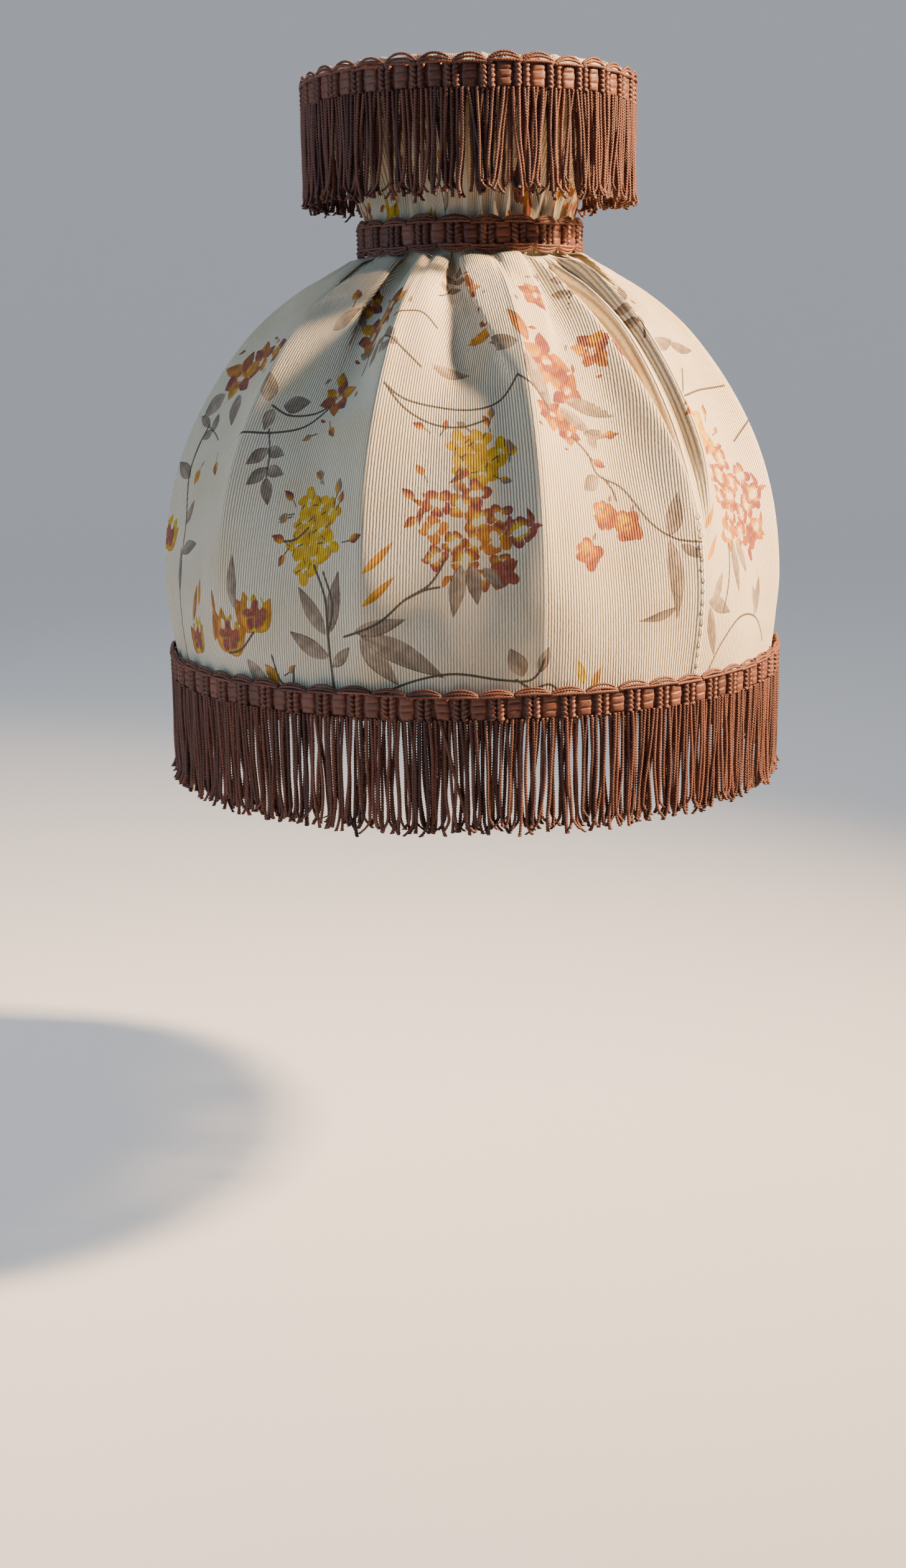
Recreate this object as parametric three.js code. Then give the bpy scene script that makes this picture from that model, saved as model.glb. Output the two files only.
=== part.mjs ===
// Fabric lamp shade: a ribbed dome under a flared collar, trimmed with fringe and braid.
// Millimetres, +Z up. The origin is the centre of the fitter ring's underside.
// A bearing is an angle round the axis, 0 at the front (-Y) and growing towards +X.
import * as THREE from 'three';

const DEGREE = Math.PI / 180;

// Wire frame
const RIB_COUNT = 12;
const RIB_BEARING = 11 * DEGREE;
const RIB_WIRE = 2.4;
const RIB_STEPS = 17;
const RING_WIRE = 3.0;
const WIRE_SIDES = 6;
const RING_SEGMENTS = 42;
const BOTTOM_RING_RADIUS = 103.4;
const BOTTOM_RING_Z = -7;
const NECK_RING_RADIUS = 32.5;
const NECK_RING_Z = 137;
const TOP_RING_RADIUS = 50.8;
const TOP_RING_Z = 186;
const WELD_GAP = 0.35;
const RIB_DOME_STATIONS = [0.14, 0.24, 0.36, 0.48, 0.6, 0.7, 0.79];
const RIB_COLLAR_STATIONS = [0.45, 0.66];
const RIB_NECK_SLACK = 0.6;
const RIB_NECK_BEND = { out: 2.3, below: 7.6, above: 9 };

// Fitter ring that sits on the lamp holder, and its three arms
const FITTER_BORE_RADIUS = 20.5;
const FITTER_RADIUS = 27.5;
const FITTER_THICKNESS = 1.5;
const ARM_COUNT = 3;
const ARM_BEARING = 41 * DEGREE;
const ARM_LEVEL_RUN = 22;
const ARM_FIRST_DIP = 1.2;
const ARM_LAST_DIP = 1.4;
const ARM_END_RUN = 14;
const ARM_STEPS = 7;
const FITTER_SEGMENTS = 36;

// Cloth
const CLOTH = 1.2;
const RIB_INSET = 3.4;
const RIB_COLLAR_INSET = 4.4;
const PANEL_COLUMNS = 6;
const PANEL_SAG = 7.2;
const SAG_LOWERING = 0.8;
const SAG_TOP_Z = 130;
const TUCK_HEIGHT = 2.2;
const TUCK_START_Z = 95;
const TUCK_FULL_Z = 126;
const TUCK_END_Z = 132;
const GATHER_DEPTH = 0.7;
const GATHER_FADE = 0.7;
const DOME_BASE_Z = -10;
const DOME_TOP_Z = 136.8;
const COLLAR_BASE_Z = 137.2;
const COLLAR_TOP_Z = 191.5;
const DOME_ROWS = 12;
const COLLAR_ROWS = 4;
const COVER_SEGMENTS = RIB_COUNT * PANEL_COLUMNS;

// Trims: a braid with scalloped edges, and a fringe of twisted cords below it
const BRAID_HEIGHT = 10;
const BRAID_THICKNESS = 1.6;
const SCALLOP = 1.4;
const FRINGE_THICKNESS = 2.2;
const FRINGE_RIPPLE = 0.4;
const FRINGE_UNEVEN = 1.3;
const UNEVEN_STEP = 2.4;
const TRIM_GAP = 0.3;
const BOTTOM_TRIM = { radius: 107.4, top: 0, repeats: 61, fringeLength: 36 };
const NECK_TRIM = { radius: 36.9, top: 143.2, repeats: 22 };
const TOP_TRIM = { radius: 55.0, top: 190, repeats: 32, fringeLength: 31.5 };

const WIRE_FINISH = { color: 0xe9e4d8, roughness: 0.45, metalness: 0.2 };
const FITTER_FINISH = { color: 0xdedbd2, roughness: 0.4, metalness: 0.3 };
const CLOTH_FINISH = { color: 0xe8e0cc, roughness: 0.9, metalness: 0 };
const TRIM_FINISH = { color: 0x6b4035, roughness: 0.7, metalness: 0 };

// Outside of the dome's cloth along a rib, from under the bottom ring to the neck
const domeOutline = new THREE.SplineCurve([
  new THREE.Vector2(106.7, DOME_BASE_Z),
  new THREE.Vector2(107.0, -2),
  new THREE.Vector2(109.2, 13),
  new THREE.Vector2(110.0, 28),
  new THREE.Vector2(108.0, 47),
  new THREE.Vector2(103.6, 64),
  new THREE.Vector2(96.6, 80),
  new THREE.Vector2(86.5, 96),
  new THREE.Vector2(74.0, 110.5),
  new THREE.Vector2(58.0, 122.5),
  new THREE.Vector2(42.5, 129.6),
  new THREE.Vector2(36.0, 132.4),
  new THREE.Vector2(35.7, DOME_TOP_Z),
]);

// Outside of the collar's cloth, from the neck to just above the top ring
const collarOutline = new THREE.SplineCurve([
  new THREE.Vector2(35.7, COLLAR_BASE_Z),
  new THREE.Vector2(37.2, 147),
  new THREE.Vector2(46.0, 165),
  new THREE.Vector2(53.6, 182),
  new THREE.Vector2(54.5, COLLAR_TOP_Z),
]);

function addMesh(parent, name, geometry, finish) {
  const mesh = new THREE.Mesh(geometry, new THREE.MeshStandardMaterial(finish));
  mesh.name = name;
  parent.add(mesh);
  return mesh;
}

// The point of an outline at u, moved inwards by the given depth
function insetPoint(outline, u, depth) {
  const point = outline.getPoint(u);
  const tangent = outline.getTangent(u);
  return new THREE.Vector2(point.x - tangent.y * depth, point.y + tangent.x * depth);
}

function outlinePoints(outline, rows, depth) {
  const points = [];
  for (let row = 0; row <= rows; row += 1) {
    points.push(insetPoint(outline, row / rows, depth));
  }
  return points;
}

// A closed section turned round the Z axis; reshape moves each vertex's radius and height
function turned(section, segments, startBearing, reshape) {
  const geometry = new THREE.LatheGeometry([...section, section[0]], segments, startBearing);
  geometry.rotateX(Math.PI / 2);
  const position = geometry.getAttribute('position');
  for (let index = 0; reshape && index < position.count; index += 1) {
    const x = position.getX(index);
    const y = position.getY(index);
    const column = Math.floor(index / (section.length + 1)) % segments;
    const bearing = startBearing + (column / segments) * 2 * Math.PI;
    const moved = reshape({ radius: Math.hypot(x, y), z: position.getZ(index), column });
    position.setXYZ(index, moved.radius * Math.sin(bearing), -moved.radius * Math.cos(bearing), moved.z);
  }
  return geometry;
}

function wireAlong(points, diameter, steps) {
  const section = new THREE.Shape();
  for (let side = 0; side < WIRE_SIDES; side += 1) {
    const angle = (side / WIRE_SIDES) * 2 * Math.PI;
    const x = (diameter / 2) * Math.cos(angle);
    const y = (diameter / 2) * Math.sin(angle);
    if (side === 0) section.moveTo(x, y);
    else section.lineTo(x, y);
  }
  section.closePath();
  const path = new THREE.CatmullRomCurve3(points);
  return new THREE.ExtrudeGeometry(section, { steps, bevelEnabled: false, extrudePath: path });
}

// --- wire frame ---

function addRings(parent) {
  const rings = [
    ['bottom_ring', BOTTOM_RING_RADIUS, BOTTOM_RING_Z],
    ['neck_ring', NECK_RING_RADIUS, NECK_RING_Z],
    ['top_ring', TOP_RING_RADIUS, TOP_RING_Z],
  ];
  for (const [name, radius, z] of rings) {
    const geometry = new THREE.TorusGeometry(radius, RING_WIRE / 2, WIRE_SIDES, RING_SEGMENTS);
    addMesh(parent, name, geometry, WIRE_FINISH).position.z = z;
  }
}

// One rib's centre line: up inside the dome, through the neck ring and out to the top ring.
// The stations say how far along each outline, from 0 to 1, its points are.
function ribRoute() {
  const clear = RING_WIRE / 2 + WELD_GAP;
  const neckRadius = NECK_RING_RADIUS - clear - RIB_WIRE / 2 - RIB_NECK_SLACK;
  const bend = RIB_NECK_BEND;
  const route = [new THREE.Vector2(BOTTOM_RING_RADIUS, BOTTOM_RING_Z + clear)];
  for (const u of RIB_DOME_STATIONS) {
    route.push(insetPoint(domeOutline, u, RIB_INSET));
  }
  route.push(new THREE.Vector2(neckRadius + bend.out, NECK_RING_Z - bend.below));
  route.push(new THREE.Vector2(neckRadius, NECK_RING_Z));
  route.push(new THREE.Vector2(neckRadius + bend.out, NECK_RING_Z + bend.above));
  for (const u of RIB_COLLAR_STATIONS) {
    route.push(insetPoint(collarOutline, u, RIB_COLLAR_INSET));
  }
  route.push(new THREE.Vector2(TOP_RING_RADIUS - WELD_GAP, TOP_RING_Z - clear));
  return route.map((point) => new THREE.Vector3(0, -point.x, point.y));
}

function addRibs(parent) {
  for (let index = 0; index < RIB_COUNT; index += 1) {
    const name = `rib_${String(index + 1).padStart(2, '0')}`;
    const rib = addMesh(parent, name, wireAlong(ribRoute(), RIB_WIRE, RIB_STEPS), WIRE_FINISH);
    rib.rotation.z = RIB_BEARING + (index / RIB_COUNT) * 2 * Math.PI;
  }
}

function addFitter(parent) {
  const section = [
    new THREE.Vector2(FITTER_RADIUS, 0),
    new THREE.Vector2(FITTER_RADIUS, FITTER_THICKNESS),
    new THREE.Vector2(FITTER_BORE_RADIUS, FITTER_THICKNESS),
    new THREE.Vector2(FITTER_BORE_RADIUS, 0),
  ];
  addMesh(parent, 'fitter_ring', turned(section, FITTER_SEGMENTS, 0), FITTER_FINISH);
}

// The arms run level from the fitter ring and dip to the bottom ring
function addArms(parent) {
  const inner = FITTER_RADIUS + WELD_GAP;
  const outer = BOTTOM_RING_RADIUS - RING_WIRE / 2 - WELD_GAP;
  const level = FITTER_THICKNESS / 2;
  const route = [
    new THREE.Vector3(0, -inner, level),
    new THREE.Vector3(0, -(inner + ARM_LEVEL_RUN), level),
    new THREE.Vector3(0, -(inner + 2 * ARM_LEVEL_RUN), level - ARM_FIRST_DIP),
    new THREE.Vector3(0, -(outer - ARM_END_RUN), BOTTOM_RING_Z + ARM_LAST_DIP),
    new THREE.Vector3(0, -outer, BOTTOM_RING_Z),
  ];
  for (let index = 0; index < ARM_COUNT; index += 1) {
    const name = `fitter_arm_${index + 1}`;
    const arm = addMesh(parent, name, wireAlong(route, RING_WIRE, ARM_STEPS), WIRE_FINISH);
    arm.rotation.z = ARM_BEARING + (index / ARM_COUNT) * 2 * Math.PI;
  }
}

// --- cloth ---

function clothSection(outline, rows) {
  const inner = outlinePoints(outline, rows, CLOTH).reverse();
  return [...outlinePoints(outline, rows, 0), ...inner];
}

// Between two ribs the dome's cloth hangs inwards, and a tuck takes up its fullness at the neck
function addDomeCover(parent) {
  const { smoothstep, clamp } = THREE.MathUtils;
  const shape = ({ radius, z, column }) => {
    const across = (column % PANEL_COLUMNS) / PANEL_COLUMNS;
    const height = clamp(z / SAG_TOP_Z, 0, 1);
    const sag = PANEL_SAG * Math.sin(Math.PI * Math.pow(height, SAG_LOWERING)) * 4 * across * (1 - across);
    const swell = smoothstep(z, TUCK_START_Z, TUCK_FULL_Z) - smoothstep(z, TUCK_FULL_Z, TUCK_END_Z);
    const tuck = across === 0.5 ? TUCK_HEIGHT * swell : 0;
    return { radius: radius - sag + tuck, z };
  };
  const section = clothSection(domeOutline, DOME_ROWS);
  addMesh(parent, 'dome_cover', turned(section, COVER_SEGMENTS, RIB_BEARING, shape), CLOTH_FINISH);
}

// The collar's cloth is gathered: it ripples most at the neck
function addCollarCover(parent) {
  const shape = ({ radius, z, column }) => {
    const rise = (z - COLLAR_BASE_Z) / (COLLAR_TOP_Z - COLLAR_BASE_Z);
    const ripple = GATHER_DEPTH * (1 - GATHER_FADE * rise);
    return { radius: radius - (column % 2 === 0 ? 0 : ripple), z };
  };
  const section = clothSection(collarOutline, COLLAR_ROWS);
  addMesh(parent, 'collar_cover', turned(section, COVER_SEGMENTS, RIB_BEARING, shape), CLOTH_FINISH);
}

// --- trims ---

function bandSection(radius, thickness, bottom, top) {
  return [
    new THREE.Vector2(radius + thickness, bottom),
    new THREE.Vector2(radius + thickness, top),
    new THREE.Vector2(radius, top),
    new THREE.Vector2(radius, bottom),
  ];
}

function addBraid(parent, name, trim, scallopBelow) {
  const bottom = trim.top - BRAID_HEIGHT;
  const middle = trim.top - BRAID_HEIGHT / 2;
  const shape = ({ radius, z, column }) => {
    const valley = column % 2 === 1;
    if (!valley) return { radius, z };
    if (z > middle) return { radius, z: z - SCALLOP };
    return { radius, z: scallopBelow ? z + SCALLOP : z };
  };
  const section = bandSection(trim.radius, BRAID_THICKNESS, bottom, trim.top);
  addMesh(parent, name, turned(section, trim.repeats * 2, 0, shape), TRIM_FINISH);
}

// The cords hang as a rippled skirt with an uneven lower edge
function addFringe(parent, name, trim) {
  const top = trim.top - BRAID_HEIGHT - TRIM_GAP;
  const bottom = top - trim.fringeLength;
  const shape = ({ radius, z, column }) => {
    const ripple = column % 2 === 0 ? FRINGE_RIPPLE : -FRINGE_RIPPLE;
    const uneven = z < top - trim.fringeLength / 2 ? FRINGE_UNEVEN * Math.sin(column * UNEVEN_STEP) : 0;
    return { radius: radius + ripple, z: z + uneven };
  };
  const section = bandSection(trim.radius - TRIM_GAP, FRINGE_THICKNESS, bottom, top);
  addMesh(parent, name, turned(section, trim.repeats * 2, 0, shape), TRIM_FINISH);
}

const lampShade = new THREE.Group();
const wireFrame = new THREE.Group();
const cloth = new THREE.Group();
const trims = new THREE.Group();
lampShade.add(wireFrame, cloth, trims);

addRings(wireFrame);
addRibs(wireFrame);
addFitter(wireFrame);
addArms(wireFrame);
addDomeCover(cloth);
addCollarCover(cloth);
addBraid(trims, 'bottom_braid', BOTTOM_TRIM, false);
addBraid(trims, 'neck_braid', NECK_TRIM, true);
addBraid(trims, 'top_braid', TOP_TRIM, false);
addFringe(trims, 'bottom_fringe', BOTTOM_TRIM);
addFringe(trims, 'top_fringe', TOP_TRIM);

export default lampShade;
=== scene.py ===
import math

import bpy
import numpy as np
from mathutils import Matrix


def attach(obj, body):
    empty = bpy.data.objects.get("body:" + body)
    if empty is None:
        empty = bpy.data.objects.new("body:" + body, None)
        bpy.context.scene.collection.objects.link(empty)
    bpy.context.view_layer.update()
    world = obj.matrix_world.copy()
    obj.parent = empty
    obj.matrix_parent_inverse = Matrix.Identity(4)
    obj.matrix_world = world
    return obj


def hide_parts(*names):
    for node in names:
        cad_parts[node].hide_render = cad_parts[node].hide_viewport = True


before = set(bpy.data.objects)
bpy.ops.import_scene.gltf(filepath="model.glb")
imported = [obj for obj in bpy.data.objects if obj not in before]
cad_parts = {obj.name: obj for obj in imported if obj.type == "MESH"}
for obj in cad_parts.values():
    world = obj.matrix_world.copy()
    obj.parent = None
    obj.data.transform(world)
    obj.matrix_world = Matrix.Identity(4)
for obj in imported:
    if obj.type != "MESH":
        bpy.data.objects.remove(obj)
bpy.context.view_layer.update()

MM = 0.001
DEGREE = math.pi / 180

# Wire frame, as in the model
RIB_COUNT = 12
RIB_BEARING = 11 * DEGREE
PANEL_ANGLE = 2 * math.pi / RIB_COUNT
RIB_WIRE = 2.4
RING_WIRE = 3.0
BOTTOM_RING = (103.4, -7.0)
NECK_RING = (32.5, 137.0)
TOP_RING = (50.8, 186.0)
RIB_INSET = 3.4

# Profiles as (radius, height) points. The dome's first three are its hem, turned round the bottom ring.
DOME_OUTLINE = [
    (100.6, -1.5), (100.7, -7.5), (103.2, -10.6), (106.7, -10), (107.0, -2), (109.2, 13), (110.0, 28),
    (108.0, 47), (103.6, 64), (96.6, 80), (86.5, 96), (74.0, 110.5), (58.0, 122.5), (42.5, 129.6),
    (36.0, 132.4), (35.7, 136.8),
]
DOME_HEM_POINTS = 3
COLLAR_OUTLINE = [
    (35.7, 137.2), (37.2, 147), (46.0, 165), (53.6, 182), (54.4, 190.0), (52.6, 191.4), (49.4, 189.5),
    (48.6, 183.5),
]

# Cloth
PANEL_CLOTH = 57.6
PANEL_SAG = 8.0
RIDGE_ROUNDING = 0.02
POINT_SPACING = 0.44
WARP_PITCH = 0.95
WEFT_PITCH = 0.75
SEAM_PANEL = 1

# Trims
BRAID_HEIGHT = 10.0
BRAID_SEAT = 0.8
BOTTOM_TRIM = {"radius": 107.6, "top": 0, "repeats": 61, "fringe": 36.0, "cords": 864, "tufting": 0.55}
NECK_TRIM = {"radius": 37.1, "top": 143.2, "repeats": 22}
TOP_TRIM = {"radius": 55.2, "top": 190.0, "repeats": 32, "fringe": 31.5, "cords": 440, "tufting": 1.3}


# ---------------------------------------------------------------- camera and stage

PAPER = (0.66, 0.68, 0.72, 1)


def add_camera():
    camera = bpy.data.objects.new("camera", bpy.data.cameras.new("camera"))
    camera.data.lens = 41.41
    camera.location = (-0.0063, -0.6518, 0.1029)
    camera.rotation_euler = (76.33 * DEGREE, 0.8 * DEGREE, 0)
    bpy.context.collection.objects.link(camera)
    bpy.context.scene.camera = camera


def add_light(name, place, target, size, power, colour, spread=180):
    light = bpy.data.lights.new(name, "AREA")
    light.size = size
    light.energy = power
    light.color = colour
    light.spread = spread * DEGREE
    lamp = bpy.data.objects.new(name, light)
    lamp.visible_camera = False
    lamp.location = place
    way = np.array(target) - np.array(place)
    lamp.rotation_euler = (math.acos(-way[2] / np.linalg.norm(way)), 0, math.atan2(-way[0], way[1]))
    bpy.context.collection.objects.link(lamp)


def add_stage():
    """A round paper sweep: a floor that curves up into a low wall on all sides.

    A little glow, seen by the camera alone, keeps the paper pale where the lamps don't reach."""
    floor_z = -202
    segments = 128
    flat, bend, top = 2100, 1200, 1500
    inner = [0.02, 300, 800, 1400]
    angle = np.linspace(0, math.pi / 2, 25)
    radius = np.concatenate([inner, flat + bend * np.sin(angle), [flat + bend]])[:, None]
    height = np.concatenate([np.zeros(len(inner)), bend - bend * np.cos(angle), [top]])[:, None]
    around = np.linspace(0, 2 * math.pi, segments, endpoint=False)[None, :]
    points = place_round(radius + 0 * around, around, floor_z + height).reshape(-1, 3) * MM
    faces = grid_quads(len(radius), segments, closed=True)
    mesh = bpy.data.meshes.new("studio_floor")
    mesh.from_pydata(points.tolist(), [], faces.tolist())
    mesh.polygons.foreach_set("use_smooth", [True] * len(faces))
    floor = bpy.data.objects.new("studio_floor", mesh)
    bpy.context.collection.objects.link(floor)
    material, nodes, shader = new_material("studio_paper", 0.9)
    shader.inputs["Base Color"].default_value = PAPER
    shader.inputs["Emission Color"].default_value = PAPER
    seen = nodes.new("ShaderNodeLightPath").outputs["Is Camera Ray"]
    put(shader.inputs["Emission Strength"], multiply(material, seen, 0.42), material)
    mesh.materials.append(material)


def add_lights():
    middle = (0, 0, 0.05)
    add_light("key_light", (1.12, -0.12, 0.82), middle, 0.12, 10.8, (1.0, 0.64, 0.35), 50)
    add_light("fill_light", (-1.2, -0.55, 0.35), middle, 1.1, 8.6, (0.55, 0.78, 1.0))
    add_light("back_light", (-0.25, 0.62, 0.75), middle, 0.5, 3.5, (1.0, 0.90, 0.78))
    world = bpy.data.worlds.new("studio")
    world.use_nodes = True
    background = world.node_tree.nodes["Background"]
    background.inputs["Color"].default_value = (0.72, 0.85, 1.0, 1)
    seen = world.node_tree.nodes.new("ShaderNodeLightPath").outputs["Is Camera Ray"]
    put(background.inputs["Strength"], between(world, seen, 0.15, 0.36), world)
    bpy.context.scene.world = world


# ---------------------------------------------------------------- node helpers

def new_material(name, roughness):
    material = bpy.data.materials.new(name)
    material.use_nodes = True
    nodes = material.node_tree.nodes
    shader = nodes["Principled BSDF"]
    shader.inputs["Roughness"].default_value = roughness
    return material, nodes, shader


def put(socket, value, material):
    """Sets a socket from a number or colour, or links it to an output."""
    if isinstance(value, bpy.types.NodeSocket):
        material.node_tree.links.new(value, socket)
    else:
        socket.default_value = value


def math_node(material, operation, first, second=0.0):
    node = material.node_tree.nodes.new("ShaderNodeMath")
    node.operation = operation
    put(node.inputs[0], first, material)
    put(node.inputs[1], second, material)
    return node.outputs[0]


def add(material, first, second):
    return math_node(material, "ADD", first, second)


def multiply(material, first, *others):
    for other in others:
        first = math_node(material, "MULTIPLY", first, other)
    return first


def between(material, factor, low, high):
    """low where the factor is 0, and high where it is 1."""
    return add(material, multiply(material, factor, high - low), low)


def mix_colour(material, factor, first, second, blend="MIX"):
    node = material.node_tree.nodes.new("ShaderNodeMix")
    node.data_type = "RGBA"
    node.blend_type = blend
    put(node.inputs[0], factor, material)
    put(node.inputs[6], first, material)
    put(node.inputs[7], second, material)
    return node.outputs[2]


def ramp(material, factor, low, high):
    """0 below low, 1 above high, smooth between."""
    node = material.node_tree.nodes.new("ShaderNodeMapRange")
    node.interpolation_type = "SMOOTHSTEP"
    put(node.inputs["Value"], factor, material)
    node.inputs["From Min"].default_value = low
    node.inputs["From Max"].default_value = high
    return node.outputs["Result"]


def attribute(material, name):
    node = material.node_tree.nodes.new("ShaderNodeAttribute")
    node.attribute_name = name
    return node.outputs


def noise(material, vector, scale, detail=3.0, roughness=0.5):
    node = material.node_tree.nodes.new("ShaderNodeTexNoise")
    node.inputs["Scale"].default_value = scale
    node.inputs["Detail"].default_value = detail
    node.inputs["Roughness"].default_value = roughness
    put(node.inputs["Vector"], vector, material)
    return node.outputs["Fac"]


def axes(material, vector):
    """The x and y of a vector."""
    split = material.node_tree.nodes.new("ShaderNodeSeparateXYZ")
    put(split.inputs[0], vector, material)
    return split.outputs["X"], split.outputs["Y"]


def bump(material, shader, height, strength, distance):
    node = material.node_tree.nodes.new("ShaderNodeBump")
    node.inputs["Strength"].default_value = strength
    node.inputs["Distance"].default_value = distance
    put(node.inputs["Height"], height, material)
    put(shader.inputs["Normal"], node.outputs["Normal"], material)


def wave(material, value, pitch):
    """1 in the middle of each yarn and 0 between two."""
    turns = multiply(material, value, 2 * math.pi / pitch)
    return between(material, math_node(material, "COSINE", turns), 0.5, 1.0)


# ---------------------------------------------------------------- materials

YARN_COLOUR = (0.86, 0.81, 0.68, 1)
# Painted shade: darker colours for the grooves between warp yarns and the gaps between weft yarns
GROOVE_SHADE_COLOUR = (0.42, 0.35, 0.25, 1)
WEFT_GAP_SHADE_COLOUR = (0.50, 0.44, 0.33, 1)
AGE_TINT = (0.95, 0.90, 0.80, 1)
LINE_COLOUR = (0.085, 0.070, 0.055, 1)


def darker(colour, share):
    return tuple(share * c for c in colour[:3]) + (1,)


def cloth_material():
    """Cream cloth with a ribbed weave, painted shade in the gaps between its yarns, and a print whose
    ink sits on the yarns.
    """
    material, _, shader = new_material("printed_cloth", 0.88)
    shader.inputs["Sheen Weight"].default_value = 0.12
    shader.inputs["Specular IOR Level"].default_value = 0.25
    place = attribute(material, "cloth")["Vector"]
    x, y = axes(material, place)
    slow = noise(material, place, 0.05)
    drift = between(material, noise(material, place, 0.9), -0.17, 0.17)
    across = add(material, x, drift)
    up = add(material, y, drift)
    warp = wave(material, across, WARP_PITCH)
    half_turns = multiply(material, across, math.pi / WARP_PITCH)
    other = math_node(material, "GREATER_THAN", math_node(material, "SINE", half_turns), 0.0)
    offset = multiply(material, other, WEFT_PITCH / 2)
    weft = wave(material, add(material, up, offset), WEFT_PITCH)

    # painted shade: the grooves between warp yarns and the gaps between weft yarns take darker colours
    yarn = ramp(material, warp, 0.0, 0.78)
    warp_colour = mix_colour(material, yarn, GROOVE_SHADE_COLOUR, YARN_COLOUR)
    woven = mix_colour(material, between(material, weft, 0.28, 0.0), warp_colour, WEFT_GAP_SHADE_COLOUR)
    aged = mix_colour(material, ramp(material, slow, 0.35, 0.75), woven, AGE_TINT, "MULTIPLY")

    ink = attribute(material, "ink")
    rough_edge = between(material, noise(material, place, 2.2, 2.0), -0.25, 0.25)
    cover = add(material, ink["Alpha"], rough_edge)
    on_yarn = between(material, warp, 0.94, 1.0)
    patchy = ramp(material, noise(material, place, 0.55), 0.15, 0.62)
    strength = between(material, patchy, 0.91, 1.0)
    amount = multiply(material, ramp(material, cover, 0.38, 0.62), on_yarn, strength)
    printed = mix_colour(material, amount, aged, ink["Color"], "MULTIPLY")
    line_cover = add(material, attribute(material, "line")["Fac"], multiply(material, rough_edge, 0.7))
    line_amount = multiply(material, ramp(material, line_cover, 0.25, 0.55), on_yarn)
    final = mix_colour(material, line_amount, printed, LINE_COLOUR)
    put(shader.inputs["Base Color"], final, material)

    rounded = math_node(material, "POWER", warp, 0.6)
    relief = multiply(material, rounded, between(material, weft, 0.65, 1.0))
    bump(material, shader, relief, 0.70, 0.00034)
    return material


def thread_material(name, light, dark, roughness, thread_pitch):
    """Lustrous brown thread: tone varies from piece to piece and along the fibres, with painted shade
    in the grooves between fibres.
    """
    material, _, shader = new_material(name, roughness)
    shader.inputs["Sheen Weight"].default_value = 0.03
    shader.inputs["Sheen Roughness"].default_value = 0.4
    shader.inputs["Specular IOR Level"].default_value = 0.35
    tone = attribute(material, "tone")["Fac"]
    place = attribute(material, "thread")["Vector"]
    along = axes(material, place)[1]
    streak = noise(material, place, 1.3)
    shade = add(material, multiply(material, tone, 0.6), multiply(material, streak, 0.4))
    colour = mix_colour(material, ramp(material, shade, 0.2, 0.85), dark, light)
    fibres = wave(material, add(material, along, multiply(material, streak, 0.15)), thread_pitch)
    # painted shade: the grooves between the fibres are darkened towards a deeper brown
    groove = between(material, fibres, 0.45, 0.0)
    put(shader.inputs["Base Color"], mix_colour(material, groove, colour, darker(dark, 0.45)), material)
    bump(material, shader, fibres, 0.35, 0.0001)
    return material


def lacquer_material(name, colour):
    """White lacquer, chipped in a few places where the grey wire shows."""
    material, nodes, shader = new_material(name, 0.42)
    place = nodes.new("ShaderNodeTexCoord").outputs["Object"]
    wear = ramp(material, noise(material, place, 220, 4.0, 0.6), 0.66, 0.72)
    stain = ramp(material, noise(material, place, 35), 0.3, 0.8)
    aged = mix_colour(material, stain, colour, darker(colour, 0.86))
    put(shader.inputs["Base Color"], mix_colour(material, wear, aged, (0.16, 0.15, 0.14, 1)), material)
    put(shader.inputs["Roughness"], between(material, wear, 0.40, 0.62), material)
    bump(material, shader, noise(material, place, 500), 0.25, 0.0003)
    return material


def tape_material():
    """Cotton tape wound round the rings."""
    material, _, shader = new_material("cotton_tape", 0.9)
    place = attribute(material, "thread")["Vector"]
    x, y = axes(material, place)
    weave = multiply(material, wave(material, x, 0.6), wave(material, y, 0.6))
    soil = ramp(material, noise(material, place, 0.12, 4.0), 0.3, 0.8)
    colour = mix_colour(material, soil, (0.80, 0.76, 0.66, 1), (0.66, 0.60, 0.48, 1))
    # painted shade: the yarn crossings are painted paler than the gaps between them, over soiling that
    # varies at random
    final = mix_colour(material, weave, colour, (0.86, 0.83, 0.75, 1))
    put(shader.inputs["Base Color"], final, material)
    bump(material, shader, weave, 0.4, 0.0002)
    return material


# ---------------------------------------------------------------- geometry helpers

def smoothstep(value, low, high):
    t = np.clip((value - low) / (high - low), 0, 1)
    return t * t * (3 - 2 * t)


def point_rows(x, y, z):
    """Rows of points from three arrays that broadcast together."""
    return np.stack(np.broadcast_arrays(x, y, z), axis=-1).reshape(-1, 3)


def place_round(radius, bearing, z):
    return np.stack([radius * np.sin(bearing), -radius * np.cos(bearing), z + 0 * radius], axis=-1)


def smooth_curve(points, steps=24):
    """A Catmull-Rom curve through the points."""
    points = np.array(points, float)
    path = np.vstack([points[:1], points, points[-1:]])
    t = np.linspace(0, 1, steps, endpoint=False)[:, None]
    curve = []
    for a, b, c, d in zip(path, path[1:], path[2:], path[3:]):
        square = 2 * a - 5 * b + 4 * c - d
        cube = 3 * b - a - 3 * c + d
        curve.append(0.5 * (2 * b + (c - a) * t + square * t**2 + cube * t**3))
    return np.vstack([*curve, points[-1:]])


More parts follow.
